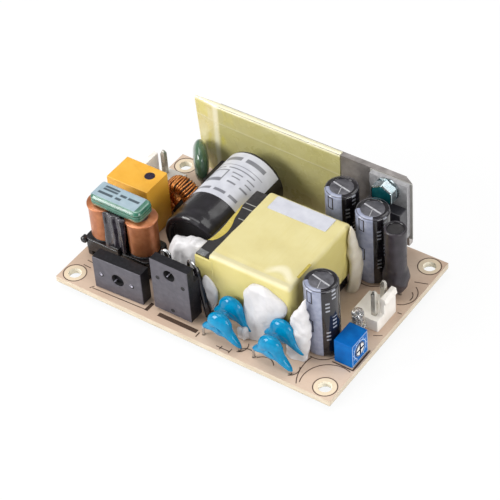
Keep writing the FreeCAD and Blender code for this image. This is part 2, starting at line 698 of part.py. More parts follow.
label = along_y("bulk_label_outer", "bulk_x", "bulk_front_y + bulk_label_start", mid_z,
                "bulk_radius + bulk_label_thickness", "bulk_label_length")
label_in = along_y("bulk_label_inner", "bulk_x", "bulk_front_y + bulk_label_start - 1", mid_z, "bulk_radius",
                   "bulk_label_length + 2")
label_low = box("bulk_label_low", "bulk_x - 2 * bulk_radius", "bulk_front_y + bulk_label_start - 1", "-2",
                "4 * bulk_radius", "bulk_label_length + 2", mid_z + " - bulk_radius / 2 + 2")
node("bulk_capacitor_label", cut("bulk_label", label, label_in, label_low))
parts = []
for n, k in enumerate(row(2)):
    x = f"bulk_x + {k} * bulk_lead_pitch"
    y = "bulk_front_y - bulk_lead_run"
    run = along_y(f"bulk_run_{n}", x, y, mid_z, "thick_lead_radius", "bulk_lead_run + bulk_bung_sink * 1.5")
    knee = place(bind(add("Sphere", f"bulk_knee_{n}"), Radius="thick_lead_radius"), x, y, mid_z)
    parts.append(fuse(f"bulk_lead_{n}", run, knee,
                      wire(f"bulk_drop_{n}", x, y, "bulk_z", "thick_lead_radius")))
node("bulk_capacitor_leads", group("bulk_leads", *parts))

# transformer: coil axis along X, core wrapped in tape and open to the mains side
left = "trafo_left_x - trafo_core_left"
right = "trafo_left_x + trafo_length - trafo_wrap"
span = f"({right} - ({left}))"
front = "trafo_front_y + trafo_wrap + trafo_coil_gap"
deep = "(trafo_width - 2 * trafo_wrap - 2 * trafo_coil_gap)"
core_z = TOP + " + trafo_core_bottom"
tall = "(trafo_core_top - trafo_core_bottom)"
mid_y = "trafo_front_y + trafo_width / 2"
post_z = TOP + " + (trafo_core_top + trafo_core_bottom) / 2"
halves = []
for n in range(2):
    start = left if n == 0 else f"{left} + {span} / 2"
    shell = box(f"trafo_half_{n}", start, front, core_z, span + " / 2", deep, tall)
    pocket = box(f"trafo_window_{n}", f"{left} + trafo_yoke" if n == 0 else f"{left} + {span} / 2 - 1",
                 front + " + trafo_yoke", core_z + " - 1",
                 f"{span} / 2 - trafo_yoke + " + ("1" if n == 0 else "1"),
                 deep + " - 2 * trafo_yoke", tall + " + 2")
    centre = box(f"trafo_post_{n}", start, f"{mid_y} - trafo_post_half", core_z, span + " / 2",
                 "2 * trafo_post_half", tall)
    halves.append(fuse(f"trafo_e_{n}", cut(f"trafo_u_{n}", shell, pocket), centre))
node("transformer_core", group("trafo_core", *halves))
coil = box("trafo_coil", f"{left} + trafo_coil_end", front + " + trafo_yoke + trafo_coil_gap",
           TOP + " + trafo_wrap_bottom", f"{span} - 2 * trafo_coil_end",
           f"{deep} - 2 * trafo_yoke - 2 * trafo_coil_gap",
           "trafo_top - trafo_wrap - trafo_coil_gap - trafo_wrap_bottom")
coil_hole = box("trafo_coil_hole", left, f"{mid_y} - trafo_post_half - 0.9", core_z + " - 0.9", span,
                "2 * trafo_post_half + 1.8", tall + " + 1.8")
node("transformer_winding", cut("trafo_winding", coil, coil_hole))
former = box("trafo_former", f"{left} + trafo_coil_end", f"{mid_y} - trafo_post_half - 0.9",
             core_z + " - 0.9", f"{span} - 2 * trafo_coil_end", "2 * trafo_post_half + 1.8", tall + " + 1.8")
former_hole = box("trafo_former_hole", left, f"{mid_y} - trafo_post_half - 0.1", core_z + " - 0.1", span,
                  "2 * trafo_post_half + 0.2", tall + " + 0.2")
rails = [box(f"trafo_rail_{n}", f"{left} + 0.3" if n == 0 else f"{right} - trafo_rail_depth - 0.3",
             f"{mid_y} - trafo_rail_length / 2", TOP + " + trafo_bobbin_bottom", "trafo_rail_depth",
             "trafo_rail_length", "trafo_rail_height") for n in range(2)]
webs = [box(f"trafo_web_{n}", f"{left} + 1.3" if n == 0 else f"{right} - 2.6",
            f"{mid_y} - trafo_post_half - 0.9", TOP + " + trafo_bobbin_bottom", "1.3",
            "2 * trafo_post_half + 1.8", "trafo_core_bottom - trafo_bobbin_bottom - 0.1") for n in range(2)]
floor = box("trafo_floor", f"{left} + 1.3", f"{mid_y} - trafo_post_half - 0.9",
            TOP + " + trafo_bobbin_bottom + trafo_rail_height - 0.8", f"{span} - 2.6",
            "2 * trafo_post_half + 1.8", "0.8")
node("transformer_bobbin", group("trafo_bobbin", cut("trafo_tube", former, former_hole),
                                 fuse("trafo_feet", floor, *rails, *webs)))
shell = box("trafo_wrap_block", "trafo_left_x", "trafo_front_y", TOP + " + trafo_wrap_bottom",
            "trafo_length", "trafo_width", "trafo_top - trafo_wrap_bottom")
hollow = box("trafo_wrap_hollow", "trafo_left_x - 1", "trafo_front_y + trafo_wrap",
             TOP, "trafo_length + 1 - trafo_wrap", "trafo_width - 2 * trafo_wrap",
             "trafo_top - trafo_wrap")
node("transformer_tape", cut("trafo_wrap_shell", shell, hollow))
node("transformer_band", box("trafo_band_pad", f"{left} - trafo_band", front + " + trafo_band_front",
                             TOP + " + trafo_band_bottom", "trafo_band", deep + " - trafo_band_front",
                             "trafo_band_top - trafo_band_bottom"))
node("transformer_label", box("trafo_label", "trafo_left_x + trafo_length - trafo_label_length - trafo_label_side",
                              "trafo_front_y + trafo_width - trafo_label_width - trafo_label_back",
                              TOP + " + trafo_top", "trafo_label_length", "trafo_label_width",
                              "label_thickness"))
share("moulded_part_pins", *[
    blade(f"trafo_pin_{n}{m}", f"{left} + 0.3 + trafo_rail_depth / 2" if n == 0 else
          f"{right} - 0.3 - trafo_rail_depth / 2", f"{mid_y} + {k} * trafo_pin_pitch",
          "trafo_bobbin_bottom", "trafo_pin_side", "trafo_pin_side")
    for n in range(2) for m, k in enumerate(row(4))])

# heatsink plate, film and the output rectifier screwed to it
screw_z = TOP + " + rect_top - rect_hole_drop"
plate = box("plate_blank", "plate_left_x", "plate_front_y", TOP + " + plate_bottom", "plate_length",
            "plate_thickness", "plate_top - plate_bottom")
nip = place(bind(add("Box", "plate_corner_cut"), Length="plate_corner * 1.4142", Width="plate_thickness + 2",
                 Height="plate_corner * 1.4142"), "plate_left_x + plate_length - plate_corner",
            "plate_front_y - 1", TOP + " + plate_top", (0, 1, 0), "45")
tap = along_y("plate_tap", "rect_x", "plate_front_y - 1", screw_z, "screw_radius", "plate_thickness + 2")
node("heatsink_plate", cut("plate_cut", plate, nip, tap))
node("heatsink_feet", group("plate_feet", *[
    wire(f"plate_foot_{n}", x, "plate_front_y + plate_thickness / 2", "plate_bottom", "foot_radius")
    for n, x in enumerate(("plate_left_x + plate_foot_inset",
                           "plate_left_x + plate_length - plate_foot_inset"))]))
wide = "film_right_x - film_left_x"
sheet_front = box("film_front", "film_left_x", "plate_front_y - film_thickness", TOP + " + film_bottom",
                  wide, "film_thickness", "plate_top + film_thickness - film_bottom")
sheet_top = box("film_top", "film_left_x", "plate_front_y - film_thickness", TOP + " + plate_top", wide,
                "plate_thickness + 2 * film_thickness", "film_thickness")
sheet_back = box("film_behind", "film_left_x", "plate_front_y + plate_thickness",
                 TOP + " + plate_top - film_back", wide, "film_thickness", "film_back + film_thickness")
node("heatsink_film", fuse("film_fold", sheet_front, sheet_top, sheet_back))
tab_back = "plate_front_y - rect_pad_thickness"
tab = box("rect_tab", "rect_x - rect_width / 2", tab_back + " - rect_tab_thickness",
          TOP + " + rect_top - rect_tab_length", "rect_width", "rect_tab_thickness", "rect_tab_length")
tab_hole = along_y("rect_tab_hole", "rect_x", "plate_front_y - 5", screw_z, "rect_hole_radius", "8")
node("rectifier_tab", cut("rect_tab_drilled", tab, tab_hole))
node("rectifier_body", box("rect_block", "rect_x - rect_width / 2",
                           tab_back + " - rect_tab_thickness - rect_body_depth",
                           TOP + " + rect_top - rect_tab_length", "rect_width", "rect_body_depth",
                           "rect_body_height"))
share("power_leads", *[
    blade(f"rect_lead_{n}", f"rect_x + {k} * rect_lead_pitch",
          tab_back + " - rect_tab_thickness - rect_body_depth / 2", "rect_top - rect_tab_length",
          "flat_lead_width", "flat_lead_thickness") for n, k in enumerate(row(3))])
pad = box("rect_pad", "rect_x - rect_width / 2 - rect_pad_margin / 2", tab_back,
          TOP + " + rect_top - rect_tab_length - rect_pad_margin", "rect_width + rect_pad_margin",
          "rect_pad_thickness", "rect_tab_length + rect_pad_margin")
pad_hole = along_y("rect_pad_hole", "rect_x", "plate_front_y - 5", screw_z, "rect_hole_radius", "8")
node("rectifier_pad", cut("rect_pad_drilled", pad, pad_hole))
washer_y = tab_back + " - rect_tab_thickness - washer_thickness"
disc = along_y("washer_disc", "rect_x", washer_y, screw_z, "washer_radius", "washer_thickness")
bore = along_y("washer_bore", "rect_x", washer_y + " - 1", screw_z, "screw_radius", "washer_thickness + 2")
node("rectifier_washer", cut("washer_ring", disc, bore))
head = place(bind(add("Prism", "screw_head"), Circumradius="screw_head_radius", Height="screw_head_height"),
             "rect_x", washer_y + " - screw_head_height", screw_z, (-1, 0, 0))
head.Polygon = 6
shank = along_y("screw_shank", "rect_x", washer_y, screw_z, "screw_radius",
                "washer_thickness + rect_tab_thickness + rect_pad_thickness + plate_thickness")
node("rectifier_screw", fuse("screw_solid", head, shank))

# output capacitors: three alike
cans, skins, bungs, leads = [], [], [], []
for tag in ("front", "mid", "back"):
    x, y = tag + "_cap_x", tag + "_cap_y"
    z = TOP + " + body_lift"
    cans.append(post(f"can_{tag}", x, y, z + " + outcap_bung_height", "outcap_radius - outcap_sleeve",
                     "outcap_height - outcap_bung_height - outcap_sleeve"))
    skin = post(f"skin_{tag}", x, y, z + " + outcap_sleeve", "outcap_radius", "outcap_height - outcap_sleeve")
    bore = post(f"skin_bore_{tag}", x, y, z, "outcap_radius - outcap_sleeve", "outcap_height - outcap_sleeve")
    rim = post(f"skin_rim_{tag}", x, y, z + " + 1", "outcap_radius - outcap_sleeve - outcap_lip",
               "outcap_height + 1")
    skins.append(cut(f"skin_cut_{tag}", skin, bore, rim))
    bungs.append(post(f"bung_{tag}", x, y, z, "outcap_radius - 3 * outcap_sleeve", "outcap_bung_height"))
    leads += [wire(f"outcap_lead_{tag}_{n}", f"{x} + {k} * outcap_lead_pitch", y, "body_lift",
                   "thin_lead_radius") for n, k in enumerate(row(2))]
node("output_capacitor_cans", group("outcap_cans", *cans))
node("output_capacitor_sleeves", group("outcap_skins", *skins))
share("capacitor_bungs", *bungs)
share("component_leads", *leads)

# rod choke in heat-shrink
foot = cone("rod_foot", "rod_x", "rod_y", TOP + " + rod_foot_z", "rod_foot_radius", "rod_bulge_radius",
            "rod_bulge_z - rod_foot_z")
neck = cone("rod_neck", "rod_x", "rod_y", TOP + " + rod_bulge_z", "rod_bulge_radius", "rod_radius",
            "rod_neck_z - rod_bulge_z")
stem = post("rod_stem", "rod_x", "rod_y", TOP + " + rod_neck_z", "rod_radius", "rod_top - rod_neck_z")
bore = post("rod_bore", "rod_x", "rod_y", TOP + " + rod_neck_z", "rod_radius - rod_shrink",
            "rod_top - rod_neck_z - rod_shrink")
mouth = post("rod_mouth", "rod_x", "rod_y", TOP + " + rod_top - 2", "rod_radius - 2.5 * rod_shrink", "4")
node("rod_choke_sleeve", cut("rod_sleeve", fuse("rod_skin", foot, neck, stem), bore, mouth))
node("rod_choke_core", post("rod_core", "rod_x", "rod_y", TOP + " + rod_neck_z", "rod_radius - rod_shrink",
                            "rod_top - rod_neck_z - rod_shrink"))
share("component_leads", *[
    wire(f"rod_lead_{n}", f"rod_x + {k} * rod_lead_pitch", "rod_y", "rod_foot_z", "thin_lead_radius")
    for n, k in enumerate(row(2))])

# indicator
led_z = TOP + " + led_lift"
node("led_lens", fuse(
    "led_dome", post("led_flange", "led_x", "led_y", led_z, "led_flange_radius", "led_flange_height"),
    post("led_barrel", "led_x", "led_y", led_z, "led_radius", "led_dome_z - led_lift"),
    place(bind(add("Sphere", "led_cap"), Radius="led_radius"), "led_x", "led_y", TOP + " + led_dome_z")))
share("component_leads", *[
    wire(f"led_lead_{n}", f"led_x + {k} * led_lead_pitch", "led_y", "led_lift", "thin_lead_radius")
    for n, k in enumerate(row(2))])

# trimmer and its rotor, turned about +X from the output end
right = "trimmer_left_x + trimmer_depth"
mid_y = "trimmer_front_y + trimmer_width / 2"
mid_z = TOP + " + body_lift + trimmer_height / 2"
block = box("trimmer_block", "trimmer_left_x", "trimmer_front_y", TOP + " + body_lift", "trimmer_depth",
            "trimmer_width", "trimmer_height")
well = along_x("trimmer_well", right + " - rotor_length", mid_y, mid_z, "rotor_radius + rotor_gap",
               "rotor_length + 1")
node("trimmer_body", cut("trimmer_case", block, well))
disc = along_x("rotor_disc", right + " - rotor_length", mid_y, mid_z, "rotor_radius",
               "rotor_length + rotor_proud")
slots = [box("rotor_slot_a", right + " + rotor_proud - rotor_slot_depth", mid_y + " - rotor_radius * 0.75",
             mid_z + " - rotor_slot / 2", "2", "rotor_radius * 1.5", "rotor_slot"),
         box("rotor_slot_b", right + " + rotor_proud - rotor_slot_depth", mid_y + " - rotor_slot / 2",
             mid_z + " - rotor_radius * 0.75", "2", "rotor_slot", "rotor_radius * 1.5")]
node("trimmer_rotor", cut("rotor_cut", disc, fuse("rotor_cross", *slots)))
share("moulded_part_pins", *[
    blade(f"trimmer_pin_{n}", f"trimmer_left_x + trimmer_depth / 2 + {abs(k) - 0.5} * trimmer_pin_pitch",
          f"{mid_y} + {k} * trimmer_pin_pitch", "body_lift", "trimmer_pin_side", "trimmer_pin_side")
    for n, k in enumerate(row(3))])

# disc capacitors: four alike, each a disc with two coated legs
discs, feet = [], []
for n, (i, y) in enumerate(((0, "blue_front_y"), (0, "blue_back_y"), (1, "blue_front_y"), (1, "blue_back_y"))):
    x = f"blue_first_x + {i} * blue_step_x"
    ball = along_y(f"blue_ball_{n}", x, f"{y} - blue_half_thickness", TOP + " + blue_z", "blue_radius",
                   "2 * blue_half_thickness")
    ball = bevel(f"blue_round_{n}", ball, size("blue_edge"), lambda e: e.isClosed(), "Fillet")
    legs = []
    for s, tip in ((-1, "blue_left_tip_z"), (1, "blue_right_tip_z")):
        leg = cone(f"blue_leg_{n}_{s + 1}", f"{x} + {s} * blue_lead_pitch / 2", y, f"{TOP} + {tip}",
                   "blue_leg_tip_radius", "blue_leg_radius",
                   f"sqrt((blue_lead_pitch / 2 - 1) ^ 2 + (blue_z - {tip} - 0.6) ^ 2)")
        place(leg, f"{x} + {s} * blue_lead_pitch / 2", y, f"{TOP} + {tip}", (0, -s, 0),
              f"atan((blue_lead_pitch / 2 - 1) / (blue_z - {tip} - 0.6))")
        legs.append(leg)
        feet.append(wire(f"blue_lead_{n}_{s + 1}", f"{x} + {s} * blue_lead_pitch / 2", y, tip,
                         "thin_lead_radius"))
    discs.append(fuse(f"blue_disc_{n}", ball, *legs))
node("blue_capacitor_discs", group("blue_discs", *discs))
share("component_leads", cut("blue_leads_cut", group("blue_leads", *feet), *discs))

# optocoupler behind the transformer
node("optocoupler_body", box("opto_block", "opto_x - opto_length / 2", "opto_y - opto_width / 2",
                             TOP + " + body_lift", "opto_length", "opto_width", "opto_height"))
legs = []
for i in (-1, 1):
    for j in (-1, 1):
        tag = f"opto_pin_{i + 1}{j + 1}"
        x = f"opto_x + {i} * opto_pin_pitch / 2"
        y = f"opto_y + {j} * opto_row / 2"
        down = blade(tag, x, y, "opto_height / 2", "opto_pin_width", "opto_pin_thickness")
        reach = box(tag + "_arm", f"{x} - opto_pin_width / 2",
                    f"opto_y + opto_width / 2" if j > 0 else f"{y} - opto_pin_thickness / 2",
                    TOP + " + opto_height / 2", "opto_pin_width",
                    "(opto_row - opto_width) / 2 + opto_pin_thickness / 2", "opto_pin_thickness")
        legs.append(fuse(tag + "_bent", down, reach))
node("optocoupler_leads", group("opto_leads", *legs))

# small parts under the board
node("pwm_controller_body", box("ic_block", "ic_x - ic_length / 2", "ic_y - ic_width / 2", "-ic_height",
                                "ic_length", "ic_width", "ic_height - 0.1"))
share("surface_terminals", *[
    box(f"ic_lead_{n}{s + 1}", f"ic_x + {k} * ic_lead_pitch - ic_lead_width / 2",
        f"ic_y + ic_width / 2" if s > 0 else "ic_y - ic_width / 2 - ic_lead_reach", "-ic_height / 2",
        "ic_lead_width", "ic_lead_reach", "ic_height / 2")
    for n, k in enumerate(row(4)) for s in (-1, 1)])
node("shunt_reference", group("ref_parts", box(
    "ref_block", "ref_x - ref_length / 2", "ref_y - ref_width / 2", "-ref_height", "ref_length", "ref_width",
    "ref_height")))
CHIPS = ((-14, -17.5), (-5, 1), (-16, 12), (14, 2), (14, -1), (5, -8), (30.5, 6.5))
node("chip_parts", group("chips", *[
    box(f"chip_{n}", f"{x} - chip_length / 2 + chip_end", f"{y} - chip_width / 2", "-chip_height",
        "chip_length - 2 * chip_end", "chip_width", "chip_height") for n, (x, y) in enumerate(CHIPS)]))
share("surface_terminals", *[
    box(f"chip_end_{n}{s + 1}", f"{x} - chip_length / 2" if s < 0 else f"{x} + chip_length / 2 - chip_end",
        f"{y} - chip_width / 2", "-chip_height", "chip_end", "chip_width", "chip_height")
    for n, (x, y) in enumerate(CHIPS) for s in (-1, 1)])

# white fixing silicone, kept clear of what it touches
bead_a = egg("bead_a", "bead_post_x", "bulk_front_y - 3.4", TOP + " + 4", "bead_post_radius", "4.4",
             "bead_post_height")
bead_b = egg("bead_b", "-0.3", "-16.9", TOP + " + 4.5", "2.6", "1.6", "7.2")
bead_c = egg("bead_c", "bead_big_x", "trafo_front_y - 0.6", TOP + " + 7.4", "bead_big_radius", "3",
             "bead_big_height")
bead_e = egg("bead_e", "25.4", "-17.2", TOP + " + 4.5", "2.7", "1.7", "10.5")
bead_f = egg("bead_f", "23.7", "8.4", TOP + " + 6", "bead_side_radius", "2.6", "bead_side_height")
beads = [bead_a, bead_b, bead_c, bead_e, bead_f]
doc.recompute()
below = box("bead_below", "-60", "-60", "-40", "120", "120", TOP + " + 40")
block = box("bead_block", "trafo_left_x - 1", "trafo_front_y - bead_gap", "0", "trafo_length + 1 + bead_gap",
            "trafo_width + 2 * bead_gap", "40")
around = along_y("bead_round", "bulk_x", "bulk_front_y - bead_gap", TOP + " + bulk_z",
                 "bulk_radius + bead_gap", "bulk_length")
near = [post(f"bead_near_{t}", t + "_cap_x", t + "_cap_y", "0", "outcap_radius + bead_gap", "30")
        for t in ("front", "mid")]
others = [nodes[n] for n in ("bulk_capacitor_leads", "clamp_diode_leads", "clamp_diode_sleeve",
                             "blue_capacitor_discs", "transformer_band", "clamp_diode_bodies",
                             "transformer_core", "transformer_bobbin", "switch_transistor_body")]
others += feet + shared["moulded_part_pins"]
node("fixing_silicone", cut("silicone_beads", group("bead_solids", *beads), below, block, around, *near,
                            *others))

# the board and its solder
blank = box("board_blank", "-board_length / 2", "-board_width / 2", "0", "board_length", "board_width", TOP)
for i in (-1, 1):
    for j in (-1, 1):
        drills.append(post(f"mount_{i + 1}{j + 1}", f"{i} * mount_pitch_x / 2", f"{j} * mount_pitch_y / 2",
                           "-1", "mount_hole_diameter / 2", TOP + " + 2"))
node("circuit_board", cut("board_drilled", blank, *drills))
node("solder_joints", group("solder_cones", *joints))
for name, things in shared.items():
    node(name, group(name + "_set", *things))

doc.recompute()
os.makedirs("parts", exist_ok=True)
bad = [o.Name for o in doc.Objects if "Invalid" in o.State or "Error" in o.State]
for name, thing in nodes.items():
    if thing.Shape.isNull() or not thing.Shape.isValid():
        bad.append(name)
if bad:
    raise RuntimeError("not sound: " + ", ".join(bad))
for name, thing in nodes.items():
    thing.Shape.exportStep("parts/" + name + ".step")
print(len(nodes), "nodes,", len(drills), "holes")
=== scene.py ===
"""The looks of an open-frame switching power supply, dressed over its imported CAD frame.

Lengths here are millimetres and become metres when a mesh is made.  A new piece is a surface worked out
with numpy: a grid of points from a formula, or a profile carried along a path.  x runs to the output end,
y to the heatsink and z up, from the underside of the board.
"""
import math

import bmesh
import bpy
import numpy as np
from mathutils import Matrix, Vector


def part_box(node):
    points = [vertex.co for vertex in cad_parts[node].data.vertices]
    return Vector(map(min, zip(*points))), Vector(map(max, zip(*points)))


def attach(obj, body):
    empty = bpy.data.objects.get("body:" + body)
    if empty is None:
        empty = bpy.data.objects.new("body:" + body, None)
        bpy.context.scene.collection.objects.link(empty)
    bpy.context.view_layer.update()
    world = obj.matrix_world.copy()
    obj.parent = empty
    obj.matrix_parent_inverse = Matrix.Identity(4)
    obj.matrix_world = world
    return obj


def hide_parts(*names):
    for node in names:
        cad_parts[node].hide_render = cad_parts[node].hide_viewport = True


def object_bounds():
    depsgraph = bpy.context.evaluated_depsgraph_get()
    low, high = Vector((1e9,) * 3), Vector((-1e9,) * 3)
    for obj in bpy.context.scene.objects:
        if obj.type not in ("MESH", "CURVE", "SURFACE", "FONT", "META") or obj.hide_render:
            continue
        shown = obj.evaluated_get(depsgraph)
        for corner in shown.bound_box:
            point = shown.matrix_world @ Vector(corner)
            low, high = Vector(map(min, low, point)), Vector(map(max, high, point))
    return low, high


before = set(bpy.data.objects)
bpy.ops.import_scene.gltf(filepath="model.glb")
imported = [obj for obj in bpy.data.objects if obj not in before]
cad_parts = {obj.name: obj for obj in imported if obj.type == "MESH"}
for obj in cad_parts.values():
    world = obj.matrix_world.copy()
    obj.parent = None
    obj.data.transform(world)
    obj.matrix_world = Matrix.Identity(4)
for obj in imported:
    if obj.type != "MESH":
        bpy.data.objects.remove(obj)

CAD_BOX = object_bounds()
MM = 0.001
TAU = 2 * np.pi


def span(node):
    """Lowest and highest corner of a CAD node, in millimetres."""
    low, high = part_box(node)
    return np.array(low) / MM, np.array(high) / MM


TOP = span("circuit_board")[1][2]
HOLE_X, HOLE_Y = 34.925, 22.225
CANS = (27.8, -11.6), (25.2, 13.7), (15.2, 16.4)  # middles of the upright capacitors


# shapes


def unit(v):
    """Vectors along the last axis, each made one long."""
    return v / np.linalg.norm(v, axis=-1, keepdims=True)


def lathe(radii, heights, centre, axis=2, sides=64):
    """Surface of revolution: the point at angle a and height h is centre + r(h) (cos a, sin a), with h
    along the axis."""
    a = np.linspace(0, TAU, sides, endpoint=False)
    r = np.asarray(radii, float)[:, None]
    h = np.asarray(heights, float)[:, None]
    ring = np.stack([r * np.cos(a), r * np.sin(a), h + 0 * a], -1)
    return ring[..., ((2, 0, 1), (0, 2, 1), (0, 1, 2))[axis]] + np.asarray(centre, float)


def flow(points, steps=8):
    """A smooth curve through the points: cubic runs whose end slopes are half the chord of the
    neighbours."""
    p = np.asarray(points, float)
    p = np.vstack([2 * p[0] - p[1], p, 2 * p[-1] - p[-2]])
    a, b, c, d = p[:-3], p[1:-2], p[2:-1], p[3:]
    t = np.linspace(0, 1, steps, endpoint=False)[:, None, None]
    run = 0.5 * (2 * b + (c - a) * t + (2 * a - 5 * b + 4 * c - d) * t**2 + (3 * b - a - 3 * c + d) * t**3)
    return np.vstack([run.transpose(1, 0, 2).reshape(-1, p.shape[1]), p[-2]])


def tube(path, radius, sides=12, ref=(0, 0, 1), looped=False, turn=0.0):
    """A round or square profile carried along a path: each ring is the point plus the radius times (cos
    a) across and (sin a) up, where across is square to the path and to ref."""
    path = np.asarray(path, float)
    ahead = np.roll(path, -1, 0) - np.roll(path, 1, 0) if looped else np.gradient(path, axis=0)
    across = unit(np.cross(ahead, np.asarray(ref, float)))
    up = unit(np.cross(across, ahead))
    a = np.linspace(0, TAU, sides, endpoint=False)[:, None] + turn
    ring = np.cos(a) * across[:, None] + np.sin(a) * up[:, None]
    out = path[:, None] + np.broadcast_to(np.asarray(radius, float), len(path))[:, None, None] * ring
    return np.vstack([out, out[:1]]) if looped else capped(out)


def ribbon(path, width, thick, ref=(0, 0, 1)):
    """A flat strip of the given width and thickness, lying on a path whose surface faces ref."""
    path = np.asarray(path, float)
    across = unit(np.cross(np.gradient(path, axis=0), np.asarray(ref, float))) * width / 2
    up = unit(np.asarray(ref, float)) * thick
    return capped(np.stack([path - across, path + across, path + across + up, path - across + up], 1))


def capped(grid):
    """Closes both ends of a stack of loops with a pole in the middle of the end loop."""
    ends = [np.broadcast_to(grid[i].mean(0), grid[i].shape)[None] for i in (0, -1)]
    return np.concatenate([ends[0], grid, ends[1]])


def block(low, high, plan=0.5, edge=0.4, foot=None, per_side=8, rings=5, walls=6):
    """A box with round corners: rounded rectangles s (h - r) + r d, for corner signs s and arc
    directions d, stacked from the middle of the bottom, up the wall, to the middle of the top."""
    low, high = np.asarray(low, float), np.asarray(high, float)
    foot = edge if foot is None else foot
    half, mid = (high - low)[:2] / 2, (high + low)[:2] / 2
    quarter = np.linspace(0, np.pi / 2, 6)
    ang = (np.arange(4)[:, None] * np.pi / 2 + quarter).ravel()
    sign = np.repeat(np.array([[1, 1], [-1, 1], [-1, -1], [1, -1]], float), 6, 0)
    arc = np.stack([np.cos(ang), np.sin(ang)], -1)
    step = np.linspace(0, 1, per_side + 2)[1:-1, None]
    s, d = [], []
    for k in range(4):
        i, j = 6 * k + 5, (6 * k + 6) % 24
        s += [sign[6 * k:i + 1], sign[i] * (1 - step) + sign[j] * step]
        d += [arc[6 * k:i + 1], arc[i] * (1 - step) + arc[j] * step]
    s, d = np.vstack(s), np.vstack(d)
    q = np.linspace(0, np.pi / 2, 5)
    inset = np.concatenate([np.full(rings, foot), foot * (1 - np.sin(q)), np.zeros(walls),
                            edge * (1 - np.cos(q)), np.full(rings, edge)])
    z = np.concatenate([np.full(rings, low[2]), low[2] + foot * (1 - np.cos(q)),
                        np.linspace(low[2] + foot, high[2] - edge, walls + 2)[1:-1],
                        high[2] - edge + edge * np.sin(q), np.full(rings, high[2])])
    scale = np.concatenate([np.linspace(0, 1, rings + 1)[:-1], np.ones(10 + walls),
                            np.linspace(1, 0, rings + 1)[1:]])
    r = np.maximum(plan - inset, 0.02)[:, None, None]
    flat = (s * (half - inset[:, None, None] - r) + r * d) * scale[:, None, None] + mid
    return np.concatenate([flat, np.broadcast_to(z[:, None, None], flat.shape[:2] + (1,))], -1)


def lumps(points, size, height, seed):
    """Soft lumps: the mean of six sine waves in seeded directions, about size long and height high."""
    rng = np.random.default_rng(seed)
    waves = unit(rng.normal(size=(6, 3))) * TAU / size * rng.uniform(0.6, 1.5, (6, 1))
    return height * np.sin(points @ waves.T + rng.uniform(0, TAU, 6)).mean(-1)


def ball(rows, sides):
    """A ball of radius 1: rings of radius cos t at height sin t."""
    t = np.linspace(-np.pi / 2, np.pi / 2, rows)
    return lathe(np.cos(t), np.sin(t), (0, 0, 0), sides=sides)


def blob(centre, radii, seed, lump, size):
    """A lump of something once soft: an ellipsoid pushed out and in by lumps."""
    round_shape = ball(28, 40)
    shape = round_shape * np.asarray(radii, float)
    return shape + round_shape * lumps(shape, size, lump, seed)[..., None] + np.asarray(centre, float)


def drape(line, half, thick, seed, lump=0.35, size=3.0, side="x", sides=44):
    """A hanging sheet of something once soft: ellipses stacked along z.  line gives (across, depth,
    height over the board) of their middles from top to foot, half their half widths and thick half
    their depth; lumps push the surface in and out."""
    path = flow(np.column_stack([np.array(line) + (0, 0, TOP), half]), 6)
    at, wide = path[:, :3], np.abs(path[:, 3])
    a = np.linspace(0, TAU, sides, endpoint=False)
    deep = thick * np.minimum(1, wide / wide.max() * 1.6)
    across = at[:, :1] + wide[:, None] * np.cos(a)
    depth = at[:, 1:2] + deep[:, None] * np.sin(a)
    grid = np.stack([across, depth, at[:, 2:] + 0 * a], -1)
    out = np.stack([np.cos(a) + 0 * across, np.sin(a) + 0 * across, 0 * across], -1)
    grid = grid + out * (lumps(grid, size, lump, seed) * np.minimum(1, wide / 1.5)[:, None])[..., None]
    return capped(grid if side == "x" else grid[..., (1, 0, 2)])


def smooth_step(x, a, b):
    """0 before a, 1 after b, and an even curve between."""
    t = np.clip((x - a) / (b - a), 0, 1)
    return t * t * (3 - 2 * t)


# meshes


def weave(grid):
    """Points, quads and corner UVs of a grid whose columns close on themselves."""
    m, n = grid.shape[:2]
    i, j = np.meshgrid(np.arange(m - 1), np.arange(n), indexing="ij")
    k = (j + 1) % n
    quads = np.stack([i * n + j, i * n + k, (i + 1) * n + k, (i + 1) * n + j], -1).reshape(-1, 4)
    u = np.stack([j, j + 1, j + 1, j], -1) / n
    v = np.stack([i, i, i + 1, i + 1], -1) / (m - 1)
    return grid.reshape(-1, 3), quads, np.stack([u, v], -1).reshape(-1, 2)


def clean(mesh, reach, flats=False):
    """Joins points nearer than reach metres, and triangles that lie in one plane if flats is set, and
    turns the faces outwards."""
    tidy = bmesh.new()
    tidy.from_mesh(mesh)
    bmesh.ops.remove_doubles(tidy, verts=tidy.verts, dist=reach)
    if flats:
        bmesh.ops.dissolve_limit(tidy, angle_limit=math.radians(1), verts=tidy.verts, edges=tidy.edges)
    bmesh.ops.recalc_face_normals(tidy, faces=tidy.faces)
    tidy.to_mesh(mesh)
    tidy.free()


def piece(name, grids, look, stands_for=(), sharp=38.0, ease=0.0):
    """One object of closed grids.  Seams and poles are joined, faces turned outwards, and corners over
    sharp degrees stay crisp.  ease gives a Bevel modifier its width."""
    woven = [weave(g) for g in grids]
    shift = np.cumsum([0] + [len(w[0]) for w in woven[:-1]])
    points = np.vstack([w[0] for w in woven]) * MM
    quads = np.vstack([w[1] + s for w, s in zip(woven, shift)])
    mesh = bpy.data.meshes.new(name)
    mesh.from_pydata(points.tolist(), [], quads.tolist())
    mesh.uv_layers.new(name="grid").uv.foreach_set("vector", np.vstack([w[2] for w in woven]).ravel())
    clean(mesh, 1e-7)
    return settle(name, mesh, look, stands_for, sharp, ease)


def eased(name, node, look, ease=0.25):
    """A copy of a CAD node with its triangles joined into flats and its edges rounded by a Bevel
    modifier."""
    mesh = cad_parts[node].data.copy()
    mesh.name = name
    mesh.materials.clear()
    clean(mesh, 1e-6, flats=True)
    return settle(name, mesh, look, (node,), 38.0, ease)


